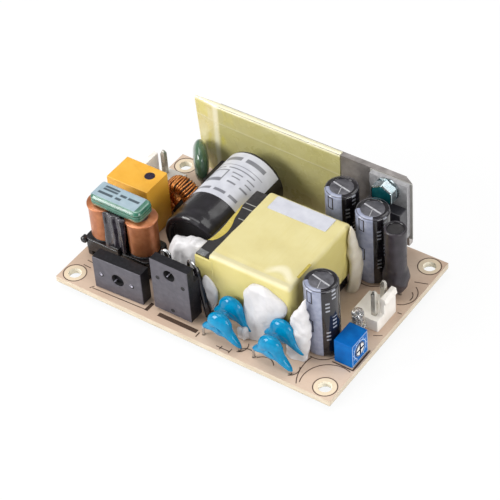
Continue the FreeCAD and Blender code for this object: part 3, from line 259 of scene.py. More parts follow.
def placed(name, data):
    """A new object of some data, linked into the scene."""
    thing = bpy.data.objects.new(name, data)
    bpy.context.scene.collection.objects.link(thing)
    return thing


def settle(name, mesh, look, stands_for, sharp, ease):
    """Puts a new object in the scene: its finish, its modifier, what it rides on and what it stands for."""
    thing = placed(name, mesh)
    mesh.materials.append(look.material)
    mesh.shade_smooth()
    mesh.set_sharp_from_angle(angle=math.radians(sharp))
    if ease:
        bevel = thing.modifiers.new("eased edges", "BEVEL")
        bevel.width = ease * MM
        bevel.segments = 3
        bevel.limit_method = "ANGLE"
        bevel.angle_limit = math.radians(35)
        bevel.use_clamp_overlap = True
        bevel.harden_normals = True
    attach(thing, "supply")
    if stands_for:
        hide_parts(*stands_for)
    return thing


def corners(thing):
    """Where the corners of a piece are, in millimetres."""
    at = np.zeros(len(thing.data.vertices) * 3)
    thing.data.vertices.foreach_get("co", at)
    return at.reshape(-1, 3) / MM


# finishes


def rgb(code):
    """A six-digit sRGB code as linear colour with alpha."""
    c = np.array([int(code[i:i + 2], 16) for i in (0, 2, 4)]) / 255
    return tuple(np.where(c <= 0.04045, c / 12.92, ((c + 0.055) / 1.055) ** 2.4)) + (1.0,)


def milky(weight, depth=0.001, radius=(1, 1, 1)):
    """Sockets for light that enters a little way: depth in metres, radius its reach by colour."""
    return {"Subsurface_Weight": weight, "Subsurface_Scale": depth, "Subsurface_Radius": radius}


class Look:
    """A procedural material, built from a few plain steps.  Its patterns are in millimetres of the
    object."""

    def __init__(self, name, **sockets):
        self.material = bpy.data.materials.new(name)
        self.material.use_nodes = True
        self.tree = self.material.node_tree
        self.shader = self.tree.nodes["Principled BSDF"]
        for socket, value in sockets.items():
            self.shader.inputs[socket.replace("_", " ")].default_value = value
        place = self.add("ShaderNodeVectorMath", operation="SCALE")
        place.inputs["Scale"].default_value = 1 / MM
        self.feed(place.inputs[0], self.add("ShaderNodeTexCoord").outputs["Object"])
        self.mm = place.outputs[0]

    def add(self, kind, **props):
        """A new node with its properties set."""
        made = self.tree.nodes.new(kind)
        for key, value in props.items():
            setattr(made, key, value)
        return made

    def feed(self, socket, value):
        """Links an output to a socket, or sets a plain number or colour on it."""
        if isinstance(value, bpy.types.NodeSocket):
            self.tree.links.new(value, socket)
        else:
            socket.default_value = value

    def axis(self, name, source=None):
        """One coordinate: x, y or z in millimetres, or of another vector."""
        split = self.add("ShaderNodeSeparateXYZ")
        self.feed(split.inputs[0], self.mm if source is None else source)
        return split.outputs["XYZ".index(name.upper())]

    def noise(self, size, detail=3.0, stretch=(1, 1, 1), rough=0.5):
        """Cloudy noise with features about size mm wide, longer along an axis whose stretch is over 1."""
        mapping = self.add("ShaderNodeMapping")
        self.feed(mapping.inputs["Vector"], self.mm)
        mapping.inputs["Scale"].default_value = [1 / (size * s) for s in stretch]
        texture = self.add("ShaderNodeTexNoise")
        self.feed(texture.inputs["Vector"], mapping.outputs[0])
        texture.inputs["Scale"].default_value = 1.0
        texture.inputs["Detail"].default_value = detail
        texture.inputs["Roughness"].default_value = rough
        return texture.outputs[0]

    def sums(self, operation, a, b=0.0):
        """One Math node on one value or two."""
        made = self.add("ShaderNodeMath", operation=operation)
        self.feed(made.inputs[0], a)
        self.feed(made.inputs[1], b)
        return made.outputs[0]

    def times(self, a, b):
        return self.sums("MULTIPLY", a, b)

    def less(self, a, b):
        return self.sums("SUBTRACT", a, b)

    def most(self, a, b):
        return self.sums("MAXIMUM", a, b)

    def between(self, value, low, high, soft):
        """1 where low < value < high and 0 outside, over edges soft wide."""
        rise = self.span(value, low - soft, low + soft, 0, 1)
        fall = self.span(value, high - soft, high + soft, 1, 0)
        return self.times(rise, fall)

    def span(self, value, from_low, from_high, to_low, to_high):
        """The value carried evenly from one range to another, and held at its ends."""
        made = self.add("ShaderNodeMapRange")
        for i, v in enumerate((value, from_low, from_high, to_low, to_high)):
            self.feed(made.inputs[i], v)
        return made.outputs[0]

    def ramp(self, value, *codes):
        """Colour codes spread evenly over 0.25 to 0.75, where cloudy noise lies."""
        made = self.add("ShaderNodeValToRGB")
        stops = made.color_ramp.elements
        while len(stops) < len(codes):
            stops.new(0.5)
        for i, code in enumerate(codes):
            stops[i].position = 0.25 + 0.5 * i / max(len(codes) - 1, 1)
            stops[i].color = rgb(code)
        self.feed(made.inputs[0], value)
        return made.outputs[0]

    def mix(self, share, a, b):
        """Colour a where share is 0 and b where it is 1."""
        made = self.add("ShaderNodeMix", data_type="RGBA")
        factor, colours = 0, (6, 7)  # the node's sockets for this type of data
        self.feed(made.inputs[factor], share)
        for i, value in zip(colours, (a, b)):
            self.feed(made.inputs[i], rgb(value) if isinstance(value, str) else value)
        return made.outputs[2]

    def colour(self, value):
        self.feed(self.shader.inputs["Base Color"], value)
        return self

    def rough(self, low, high, size=1.5):
        """Roughness that wanders between two values."""
        value = self.span(self.noise(size, 4), 0.3, 0.7, low, high)
        self.feed(self.shader.inputs["Roughness"], value)
        return self

    def bump(self, height, distance):
        """Raises the surface by height times distance millimetres."""
        made = self.add("ShaderNodeBump")
        made.inputs["Distance"].default_value = distance * MM
        self.feed(made.inputs["Height"], height)
        self.feed(self.shader.inputs["Normal"], made.outputs[0])
        return self


def plain(name, tones, rough, size=2.0, grain=0.25, depth=0.01, **sockets):
    """The usual finish: colour clouds of size mm, wandering roughness and a fine grain depth mm deep."""
    look = Look(name, **sockets)
    look.colour(look.ramp(look.noise(size, 4), *tones))
    look.rough(rough[0], rough[1], size / 2)
    return look.bump(look.noise(grain, 3), depth)


def laminate_look():
    """Pale laminate: creamy printed side with fibre flecks, bare rings at the mounting holes, a sawn
    edge, and a green underside whose traces are the cells of a stretched Voronoi pattern."""
    look = Look("laminate", Specular_IOR_Level=0.3)
    fleck = look.noise(0.5, 4, (3, 1, 1))
    top = look.mix(look.span(look.noise(14, 3), 0.35, 0.65, 0, 1), "C6AC97", "D0BAA6")
    top = look.mix(look.span(fleck, 0.55, 0.75, 0, 0.25), top, "B29781")
    x, y, z = (look.axis(name) for name in "xyz")
    away = [look.less(look.sums("ABSOLUTE", v), at) for v, at in ((x, HOLE_X), (y, HOLE_Y))]
    reach = look.sums("SQRT", look.sums("ADD", *(look.times(v, v) for v in away)))
    bare = look.span(reach, 2.5, 2.6, 1, 0)
    top = look.mix(look.times(bare, 0.6), top, "E9DABB")
    edge = look.ramp(look.noise(0.8, 3, (6, 6, 1)), "C3B19A", "CDBEA8", "D8CAB6")
    edge = look.mix(look.span(reach, 1.9, 2.0, 1, 0), edge, "F6EEDC")
    field = look.add("ShaderNodeTexVoronoi", feature="DISTANCE_TO_EDGE")
    spread = look.add("ShaderNodeVectorMath", operation="MULTIPLY")
    look.feed(spread.inputs[0], look.mm)
    spread.inputs[1].default_value = (0.13, 0.16, 0.0)
    look.feed(field.inputs["Vector"], spread.outputs[0])
    field.inputs["Scale"].default_value = 1.0
    trace = look.span(field.outputs[0], 0.02, 0.032, 0, 1)
    mask = look.mix(trace, "21502F", "2C6539")
    side = look.mix(look.span(z, TOP - 0.05, TOP - 0.03, 0, 1), edge, top)
    look.colour(look.mix(look.span(z, 0.03, 0.05, 0, 1), mask, side))
    look.rough(0.42, 0.6, 3)
    lift = look.times(trace, look.span(z, 0.03, 0.05, 1, 0))
    return look.bump(look.sums("ADD", look.times(fleck, 0.25), lift), 0.035)


def moulding_look(name, tones, rough, speck=0.02, sheen=0.5):
    """Moulded black epoxy: matt grain, a few paler rubbed places, and a soft sheen."""
    look = Look(name, Specular_IOR_Level=sheen)
    rub = look.span(look.noise(2.2, 5, rough=0.7), 0.55, 0.75, 0, 1)
    look.colour(look.mix(rub, look.ramp(look.noise(0.7, 3), *tones[:2]), tones[2]))
    look.rough(*rough, 0.9)
    return look.bump(look.noise(0.16, 2), speck)


def painted_front_sheen_look(name, front, slope, at):
    """Moulded epoxy with a painted sheen: its front face, at y = front + slope (x - at), is painted paler.
    """
    look = Look(name)
    lean = look.times(look.less(look.axis("x"), at), slope)
    depth = look.less(look.axis("y"), lean)
    face = look.span(depth, front + 0.08, front + 0.22, 1, 0)
    # painted sheen: the front face gets a paler grey than the rest of the epoxy
    pale = look.ramp(look.noise(1.2, 4), "423F48", "4A474F", "54515A")
    look.colour(look.mix(face, look.ramp(look.noise(0.7, 3), "131215", "1A191D", "242328"), pale))
    look.feed(look.shader.inputs["Specular IOR Level"], look.span(face, 0, 1, 0.25, 0.6))
    look.rough(0.3, 0.46, 0.9)
    return look.bump(look.noise(0.16, 2), 0.02)


def sleeve_look(name, stripe=None, rough=(0.1, 0.24)):
    """Shrunk glossy film, nearly black.  A stripe, given by two shares of the turn, carries outlined
    bars, and beside it stand short pale dashes in two columns.  All of it repeats with the height."""
    look = Look(name, Specular_IOR_Level=0.4, Coat_Weight=0.3, Coat_Roughness=0.05)
    base = look.ramp(look.noise(3, 3), "100E12", "18151A", "221F25")
    if stripe:
        uv = look.add("ShaderNodeUVMap", uv_map="grid").outputs[0]
        turn, z = look.axis("x", uv), look.axis("z")
        start, end = stripe
        first_cell, cell_height = 5.5, 8.7
        cell = look.sums("MODULO", look.less(z, first_cell), cell_height)

        def patch(u0, u1, z0, z1, soft_u, soft_z):
            """1 between two shares of the turn and two heights in the cell."""
            return look.times(look.between(turn, u0, u1, soft_u), look.between(cell, z0, z1, soft_z))

        boxes = [patch(start + a * (end - start), start + b * (end - start), c, d, 0.002, 0.05)
                 for a, b, c, d in ((0.42, 0.68, 3.6, 7.1), (0.47, 0.63, 3.85, 6.85))]
        grey = look.ramp(look.noise(1.2, 4), "80859B", "8F94A8", "9BA0B2")
        grey = look.mix(look.less(*boxes), grey, "201F26")
        dash = look.between(look.sums("MODULO", z, 1.1), 0.25, 0.7, 0.06)
        rows = [patch(end + a, end + b, c, d, 0.003, 0.1)
                for a, b, c, d in ((0.035, 0.075, 1.0, 4.6), (0.1, 0.145, 4.2, 8.2))]
        dashes = look.times(dash, look.sums("ADD", *rows))
        base = look.mix(look.times(dashes, 0.75), base, "B2B5BE")
        base = look.mix(look.between(turn, start, end, 0.003), base, grey)
    look.colour(base)
    look.rough(*rough, 2)
    return look.bump(look.noise(1.6, 3, (1, 1, 4)), 0.05)


def metal_look(name, tones, rough, scratch=0.01, size=1.5, stretch=(1, 1, 1), metal=1.0):
    """Metal with clouds of tarnish and fine scratches along the stretch."""
    look = Look(name, Metallic=metal)
    look.colour(look.ramp(look.noise(size, 5, rough=0.65), *tones))
    look.rough(*rough, size)
    return look.bump(look.noise(0.12, 4, stretch), scratch)


def tape_look():
    """Polyester tape: straw yellow with streaks.  A pale curved patch near its front corner is a painted
    highlight, the pale strip along the fold of its front edge is partly the fold's own tint and partly
    painted highlight, and the sides below the top are painted deeper as shade."""
    look = Look("yellow_tape", Specular_IOR_Level=0.4, Coat_Weight=0.35, Coat_Roughness=0.28,
                **milky(0.1, 0.002, (1, 0.95, 0.7)))
    cloud = look.ramp(look.noise(7, 3), "CCBF85", "D1C68E", "D6CC97")
    streak = look.span(look.noise(0.8, 3, (1, 10, 10)), 0.5, 0.75, 0, 0.25)
    layer = look.mix(streak, cloud, "C8BA76")
    x, y, z = (look.axis(name) for name in "xyz")
    (left, front, _), (_, _, top) = span("transformer_tape")
    bow = look.sums("ABSOLUTE", look.less(y, look.sums("SINE", look.times(x, 0.8))))
    # painted highlight: a pale curved patch on the top near the front corner
    painted_highlight_smear = look.times(look.between(look.less(bow, 12.5), -1.2, 0.9, 0.6),
                       look.between(x, left + 14.5, left + 21, 1.2))
    layer = look.mix(look.times(painted_highlight_smear, 0.6), layer, "EFE9D2")
    # painted shade: the sides below the top are a deeper yellow than the top
    layer = look.mix(look.span(z, top - 1.0, top - 0.4, 0.6, 0), layer, "C9BB66")
    # the pale strip along the front fold: partly the fold's own tint, partly painted highlight
    fold = look.times(look.between(y, front + 0.2, front + 1.9, 0.2),
                      look.span(z, top - 1.2, top - 0.6, 0, 0.5))
    look.colour(look.mix(fold, layer, "CBC4A8"))
    look.rough(0.3, 0.46, 3)
    return look.bump(look.noise(2.5, 4, (1, 2, 2)), 0.1)


def film_look(plate_left, plate_top):
    """Folded polyester film: olive over the metal, straw where it stands free, whitened at its creases."""
    look = Look("polyester_film", Specular_IOR_Level=0.5, Coat_Weight=0.3, Coat_Roughness=0.1,
                **milky(0.1, 0.002, (1, 0.95, 0.7)))
    x, z = look.axis("x"), look.axis("z")
    over = look.ramp(look.noise(9, 3), "B3AB6C", "BAB379", "BFB984")
    free = look.ramp(look.noise(4, 3), "D0BF70", "D0C285", "D9CF9E")
    body = look.mix(look.span(x, plate_left - 0.3, plate_left + 0.3, 0, 1), free, over)
    patch = look.times(look.span(look.noise(3.5, 2, (1, 1, 2)), 0.52, 0.62, 0, 0.5),
                      look.span(x, plate_left + 5, plate_left + 1, 0, 1))
    body = look.mix(patch, body, "CFC247")
    crease = look.times(look.between(x, plate_left - 1.5, plate_left - 0.1, 0.4), 0.7)
    fold = look.span(z, plate_top - 0.7, plate_top + 0.1, 0, 0.7)
    slope = look.sums("ADD", z, look.times(x, 0.03))
    line = look.times(look.between(slope, TOP + 16.6, TOP + 16.8, 0.12), 0.4)
    white = look.most(look.most(crease, fold), line)
    look.colour(look.mix(white, body, "EEE9CE"))
    look.rough(0.2, 0.38, 4)
    return look.bump(look.sums("ADD", look.noise(6, 3), look.times(line, 0.6)), 0.2)


def wire_look(name, tones, rough, metal=0.85):
    """Enamelled copper: warm metal with slightly darker stretches."""
    look = Look(name, Metallic=metal, Specular_IOR_Level=0.6, Coat_Weight=0.5, Coat_Roughness=0.15)
    look.colour(look.ramp(look.noise(2.5, 3), *tones))
    look.rough(*rough, 1.5)
    return look.bump(look.noise(0.2, 2), 0.01)


def green_tape_look():
    """Green polyester tape in several turns: pale edges of the layers under a dark glossy top layer."""
    look = Look("choke_green_tape", Coat_Weight=0.5, Coat_Roughness=0.18, Specular_IOR_Level=0.5)
    z = look.axis("z")
    top = span("line_choke_core")[1][2]
    layer = look.sums("SINE", look.times(z, 9.0))
    pale = look.span(layer, 0.55, 0.95, 0, 0.5)
    low = look.span(z, top - 2.6, top - 1.7, 0.4, 0)
    base = look.ramp(look.noise(1.4, 4), "1E4A3B", "28614D", "37745E")
    look.colour(look.mix(look.most(pale, low), base, "7FA595"))
    look.rough(0.15, 0.3, 1.5)
    return look.bump(look.sums("ADD", look.noise(1.5, 3), layer), 0.03)


def rotor_look():
    """The white rotor with its cross in dark blue, and a dark ring at its rim as painted shade of the gap
    there.
    """
    look = Look("rotor_white", Specular_IOR_Level=0.4)
    low, high = span("trimmer_rotor")
    y = look.less(look.axis("y"), (low[1] + high[1]) / 2)
    z = look.less(look.axis("z"), (low[2] + high[2]) / 2)
    reach = look.sums("SQRT", look.sums("ADD", look.times(y, y), look.times(z, z)))
    arms = look.most(look.between(y, -0.28, 0.28, 0.03), look.between(z, -0.28, 0.28, 0.03))
    # painted shade: a dark ring at the rim stands for the gap round the rotor
    dark = look.most(arms, look.span(reach, 1.38, 1.44, 0, 0.8))
    look.colour(look.mix(dark, look.ramp(look.noise(1, 3), "D9D9D6", "E9E9E6"), "0D2A55"))
    look.rough(0.35, 0.5, 1)
    return look.bump(look.noise(0.2, 3), 0.01)


def label_look(name, base, field):
    """A pale label with a few plain printed bars and nothing that can be read."""
    look = Look(name, Specular_IOR_Level=0.4, Coat_Weight=0.2, Coat_Roughness=0.2)
    mark = look.add("ShaderNodeAttribute", attribute_name="print").outputs["Fac"]
    paper = look.ramp(look.noise(2.5, 3), *base)
    look.colour(look.mix(mark, paper, field))
    look.rough(0.28, 0.42, 1.5)
    return look.bump(look.noise(0.6, 2), 0.012)


def clear_look(name, tint, rough, clear):
    """Clear cast resin with faint clouds in its tint."""
    look = Look(name, Transmission_Weight=clear, IOR=1.5)
    look.colour(look.ramp(look.noise(1.0, 3), *tint))
    look.rough(rough, rough * 2.5, 1)
    return look.bump(look.noise(0.8, 2), 0.01)


LAMINATE = laminate_look()
# brown print, also used as painted shadow along the trimmer's foot
INK_AND_SHADOW = plain("board_ink_and_painted_shadow", ("3E2C22", "523C2D"), (0.5, 0.7), 0.6, 0.2, 0.004)
SOLDER = metal_look("solder", ("9FA1A4", "BFC1C4", "D0D2D4"), (0.22, 0.42), 0.02)
ALUMINIUM = metal_look("heatsink_aluminium", ("918B88", "ABA5A2", "C4BEBB"), (0.33, 0.46), 0.02, 3.5,
                       (14, 1, 2), 0.7)
TINNED = metal_look("tinned_wire", ("A5A6A8", "C6C7C9", "D8D9DA"), (0.16, 0.34), 0.008)
TIN_PIN = metal_look("tinned_pin", ("A8A49C", "CAC6BD", "E0DDD7"), (0.22, 0.38), 0.006, 2.5, (1, 1, 8), 0.8)
CAN = metal_look("can_aluminium", ("6F6E74", "838288", "97969C"), (0.3, 0.45), 0.008)
TAB = metal_look("tinned_copper", ("8B8A8C", "A9A8AA", "BBBABB"), (0.38, 0.55), 0.01, metal=0.35)
STEEL = metal_look("zinc_steel", ("6B868C", "A4B0B4", "C6CCCE"), (0.16, 0.3), 0.006, 1.2)
# the dark teal of the screw's end face is a painted reflection
REFLECTED_TEAL = plain("painted_reflection_end_face", ("0B444B", "10535A", "1A636A"), (0.12, 0.25), 1.5, 0.2, 0.006, Metallic=0.5)
# the scores' pale colour is a painted highlight on the can tops
SCORE_HIGHLIGHT = plain("scores_painted_highlight", ("B9B9BD", "D6D6D9"), (0.25, 0.4), 0.5, 0.2, 0.004, Metallic=0.4)
FERRITE = moulding_look("ferrite", ("1F1D1E", "2A2728", "3C393A"), (0.36, 0.55), 0.03)
MOULDING = moulding_look("moulding_black", ("26252B", "2C2B32", "3D3C44"), (0.34, 0.48), 0.02, 0.8)
BOBBIN = moulding_look("bobbin_black", ("141315", "1C1A1D", "2A282B"), (0.2, 0.4))
PLEATED = plain("pleated_sheet", ("1D1A1F", "2E2A31", "46414B"), (0.12, 0.28), 1.5, 0.6, 0.05,
                Coat_Weight=0.6, Coat_Roughness=0.08)
FUSE = moulding_look("fuse_black", ("1B191A", "252223", "343031"), (0.3, 0.5))
# a pale grey used only for painted glints and highlights on the black mouldings
PAINTED_GLINT = plain("painted_glint_grey", ("9D9BAA", "B9B6C6"), (0.3, 0.45), 0.6, 0.2, 0.004)
# grey of the rectifier's pad, also used as painted sheen on the silver lines over the core
PAD_AND_SHEEN = plain("pad_grey", ("8E8D88", "A4A39E"), (0.6, 0.8), 2, 0.3, 0.02)
NYLON = plain("nylon_white", ("DFD9D1", "E9E4DD", "F0ECE6"), (0.35, 0.55), 3, 0.3, 0.01, **milky(0.2))
AMBER = plain("box_amber", ("D59A2B", "DEA435", "E6AF42"), (0.3, 0.5), 6, 0.35, 0.012, **milky(0.1))
MARK = plain("box_mark", ("1D1424", "2A1D35"), (0.2, 0.4), 1, 0.3, 0.02)
DISC_GREEN = plain("disc_green", ("35513D", "415F48", "4F6E55"), (0.12, 0.26), 1.6, 0.5, 0.03,
                   Coat_Weight=0.6, Coat_Roughness=0.06)
RING = moulding_look("ring_core", ("2A2624", "3A3430", "4B443E"), (0.5, 0.7), 0.03)
COPPER = wire_look("enamel_copper", ("A8602A", "D2853F", "EBA45B"), (0.2, 0.36))
COIL = wire_look("enamel_copper_fine", ("A25F38", "B87248", "CB875A"), (0.3, 0.46), 0.6)
GREEN_TAPE = green_tape_look()
# dark rubber of the bungs, also used as painted shade in the holes of the black parts
BUNG_AND_SHADE = plain("bung_rubber", ("111012", "1B191C"), (0.5, 0.75), 1.5, 0.3, 0.03)
SLEEVE = sleeve_look("sleeve_black", rough=(0.24, 0.4))
STRIPED = sleeve_look("sleeve_black_striped", (0.583, 0.838))
TAPE = tape_look()
DOUBLED = plain("yellow_tape_doubled", ("B09D42", "BDAA4E", "C9B75C"), (0.16, 0.34), 5, 1.5, 0.05,
                Coat_Weight=0.5, Coat_Roughness=0.1)
WHITE_LABEL = label_look("label_white", ("B9BAC3", "C3C4CC", "CCCDD4"), "3F4048")
PALE_LABEL = label_look("label_pale_blue", ("8FA3AE", "9AAEB8", "A5B6C0"), "36424A")
EPOXY_BLUE = plain("epoxy_blue", ("006C98", "007EAA", "048CB8"), (0.12, 0.24), 1.5, 0.7, 0.03,
                   Specular_IOR_Level=0.1, Coat_Weight=0.4, Coat_Roughness=0.06)
SHRINK = plain("heat_shrink", ("221D22", "2B252B", "373037"), (0.3, 0.5), 2, 0.4, 0.03)
LENS = clear_look("clear_epoxy", ("F6F6F6", "FFFFFF"), 0.012, 0.9)
TRIMMER = plain("trimmer_blue", ("00549E", "005EAA", "036AB6"), (0.3, 0.45), 2, 0.3, 0.012,
                Specular_IOR_Level=0.12)
DIAL = plain("dial_print", ("A9C3DE", "C3D6EA"), (0.4, 0.6), 0.8, 0.2, 0.004)
ROTOR = rotor_look()
SILICONE = plain("silicone_white", ("C4C2C2", "CECCCD", "D5D3D4"), (0.3, 0.5), 2.5, 1.0, 0.12,
                 **milky(0.2))
# a warmer, darker white than the other silicone
WARM_SILICONE = plain("silicone_warm", ("BEB4A0", "CCC4B4", "D6D1C7"), (0.3, 0.5), 3.5, 1.0,
                 0.12, **milky(0.2, radius=(1, 1, 0.8)))
CERAMIC = plain("chip_ceramic", ("8A6A4C", "A17E5C"), (0.4, 0.6), 0.8, 0.2, 0.01)
SHRUNK_LEAD = sleeve_look("lead_sleeve")


def dress(look, *names):
    """Gives CAD nodes their finish in place of the plain one they were packed with."""
    for name in names:
        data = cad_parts[name].data
        data.materials.clear()
        data.materials.append(look.material)


def board():
    """The laminate with its brown print: rings at the mounting holes, outlines, bars and arcs, their
    places read off the photograph.  The lines along the trimmer's foot are print widened by painted shadow."""
    dress(LAMINATE, "circuit_board")
    dress(SOLDER, "solder_joints", "surface_terminals")
    dress(CERAMIC, "chip_parts")
    dress(MOULDING, "pwm_controller_body", "shunt_reference")
    z, limit = TOP - 0.005, np.array([37.85, 25.1])
    hole_ring, can_ring = 2.77, 4.4

    def stroke(*points, width=0.22):
        """A printed line on the board through points (x, y)."""
        return ribbon([(x, y, z) for x, y in points], width, 0.03)

    def arc(x, y, r, start=0, end=360.01):
        """Part of a circle, as far as it lies on the board."""
        a = np.radians(np.linspace(start, end, 60))
        line = np.stack([x + r * np.cos(a), y + r * np.sin(a)], -1)
        return stroke(*line[(np.abs(line) < limit).all(1)])

    def bow(p, q, r):
        """The arc from p to r by way of q: its centre is where the three distances are equal."""
        p, q, r = (np.array(v, float) for v in (p, q, r))
        centre = np.linalg.solve(2 * np.stack([q - p, r - p]), [q @ q - p @ p, r @ r - p @ p])
        ends = [math.degrees(math.atan2(*(v - centre)[::-1])) for v in (p, q, r)]
        ends = np.degrees(np.unwrap(np.radians(ends)))
        return arc(*centre, np.linalg.norm(p - centre), ends[0], ends[2])

    (left, front, _), (right, _, _) = span("switch_transistor_body")
    (trim_left, trim_front, _), (trim_right, trim_back, _) = span("trimmer_body")
    marks = [arc(sx * HOLE_X, sy * HOLE_Y, hole_ring) for sx in (-1, 1) for sy in (-1, 1)]
    marks += [stroke((-28.3, -24.05), (-13.2, -23.4)), stroke((-28.9, -24.4), (-28.2, -23.4)),
              stroke((-13.2, -23.6), (-13.1, -20.9), width=0.9),
              stroke((left + 1.6, front - 0.95), (right + 2.1, front - 0.95), width=1.15),
              stroke((right + 2.7, front - 2.4), (right + 2.7, front - 0.9), width=0.3),
              # print along the trimmer's foot, drawn wider as painted shadow
              stroke((trim_left - 0.4, trim_front - 0.3), (trim_right + 0.35, trim_front - 0.3),
                     width=0.35),
              stroke((trim_right + 0.3, trim_front - 0.4), (trim_right + 0.3, trim_back + 0.3), width=0.45),
              bow((29.3, -24.0), (30.2, -17.8), (37.3, -15.7)),
              bow((28.9, -24.7), (27.4, -20.9), (27.5, -16.2)),
              arc(*CANS[0], 4.6, -100, 60), arc(14.4, -24.1, 2.6, 30, 150), arc(19.4, -24.1, 2.6, 30, 150),
              arc(11.4, -21.5, 2.2, -70, 40), arc(25.2, -21.5, 2.2, -70, 40),
              stroke((7.2, -24.4), (10.8, -24.4)), stroke((10.8, -24.9), (10.8, -23.4)),
              stroke((8.4, -24.9), (8.4, -23.8)),
              bow((35.8, 14.7), (37.7, 10.9), (35.0, 7.7)), bow((35.9, 12.8), (36.8, 11.6), (36.8, 10.3)),
              stroke((34.6, 16.0), (37.7, 17.0)), stroke((36.5, 5.5), (37.6, 5.6)),
              stroke((35.6, -3.5), (37.4, -2.4)), stroke((-35.0, -17.2), (-32.7, -17.4)),
              stroke((-34.9, -18.9), (-32.7, -19.0)), *(arc(x, y, can_ring) for x, y in CANS[1:])]
    piece("board_print_lines", marks, INK_AND_SHADOW, sharp=30)


def bridge_and_transistor():
    """The two flat black parts at the front edge: the CAD's boxes with eased edges.  Their ejector marks
    are turned rings, two with a painted glint; the dark turned rings in their holes are painted shade, and
    the pale flat strip in each hole is a painted highlight along the bore."""
    bridge_x, bridge_y, bridge_turn = -21.2, -23.0, math.radians(2.4)
    switch_x, switch_y = -6.3, -22.1
    bridge = painted_front_sheen_look("bridge_moulding", bridge_y, math.tan(bridge_turn), bridge_x)
    eased("bridge_case", "bridge_rectifier_body", bridge, 0.22)
    transistor = painted_front_sheen_look("transistor_moulding", switch_y, 0.0, 0.0)
    eased("transistor_case", "switch_transistor_body", transistor, 0.22)
    dress(TIN_PIN, "power_leads")
    ring = lathe([0.0, 0.3, 0.44, 0.52, 0.6, 0.6, 0.0], [-0.01, -0.01, -0.04, -0.05, 0.04, 0.06, 0.06],
                 (0, 0, 0), 1, 24)
    glint = lathe([0, 0.4, 0.46, 0.46, 0], [-0.03, -0.03, -0.01, 0.05, 0.05], (-0.22, 0, 0.1), 1, 20)
    spots = [(-25.6, -23.18, TOP + 4.85), (-17.1, -22.83, TOP + 4.9), (-9.7, switch_y, TOP + 11.0),
             (-2.7, switch_y, TOP + 10.9), (switch_x, switch_y, TOP + 2.2)]
    piece("ejector_marks", [ring + np.array(s) for s in spots], BUNG_AND_SHADE)
    # painted highlights: pale glints on the rims of two ejector marks
    piece("ejector_glints", [glint + np.array(s) for s in spots[:2]], PAINTED_GLINT)
    # painted shade: dark rings lining the holes of the bridge and transistor
    r = np.array([1.56, 1.63, 1.63, 1.52, 1.52, 1.56])
    shade_rings = [lathe(r * share, [0.2, 0.3, 3.0, 3.0, 0.3, 0.2], at, 1, 40) for share, at in
              ((1, (bridge_x, bridge_y, TOP + 5.0)), (0.94, (switch_x - 0.05, switch_y, TOP + 13.0)))]
    piece("hole_wall_shade", shade_rings, BUNG_AND_SHADE, sharp=80)
    # painted highlights: a pale strip along the wall of each hole
    wall_highlights = [ribbon([(x, front, TOP + z), (x, back, TOP + z)], 0.24, 0.1, (0.45, 0, 0.9))
             for x, front, back, z in ((-7.0, -22.0, -19.6, 12.45), (-22.2, -22.9, -21.6, 4.05))]
    piece("hole_wall_highlights", wall_highlights, PAINTED_GLINT)


def clamp_diodes():
    """Two diodes on end, each with a hairpin: a tube up from the board, over a half circle and down.  The
    right one wears a black sleeve and leans to its foot along a smooth curve."""
    dress(MOULDING, "clamp_diode_bodies")
    wire, bow_height = 0.4, 2.078
    y, r, top = -15.0, 1.1, span("clamp_diode_leads")[1][2] - wire - bow_height
    left_x, right_x = -11.4, -6.2
    a = np.linspace(0, np.pi, 16)
    bow = np.stack([left_x - r + r * np.cos(a), 0 * a + y, top + r * np.sin(a)], -1)
    left = np.vstack([[(left_x, y, 0), (left_x, y, TOP + 6)], bow, [(left_x - 2 * r, y, 0)]])
    start, far, foot = np.array([(right_x, y, top), (-2.4, -16.7, top), (0.8, -18.05, TOP)])
    mid, half = (start + far) / 2, np.linalg.norm(far - start) / 2
    way = unit(far - start)
    bow = mid - half * np.cos(a)[:, None] * way + half * np.sin(a)[:, None] * np.array([0, 0, 1])
    bend = np.array([0.35, -0.2, 0])
    drop = flow([far, far * 0.66 + foot * 0.34 + bend, far * 0.3 + foot * 0.7 + bend, foot], 10)
    right = np.vstack([[(right_x, y, 0), (right_x, y, TOP + 6)], bow, drop[1:], [foot * (1, 1, 0)]])
    across = np.cross(way, (0, 0, 1))
    piece("hairpin_leads", [tube(left, wire, 12, (0, 1, 0)), tube(right, wire, 12, across)],
          TINNED, ("clamp_diode_leads",))
    cover = np.vstack([bow[11:], drop[1:-2]])
    piece("hairpin_sleeve", [tube(cover, wire + 0.38, 14, across)], SHRUNK_LEAD,
          ("clamp_diode_sleeve",))


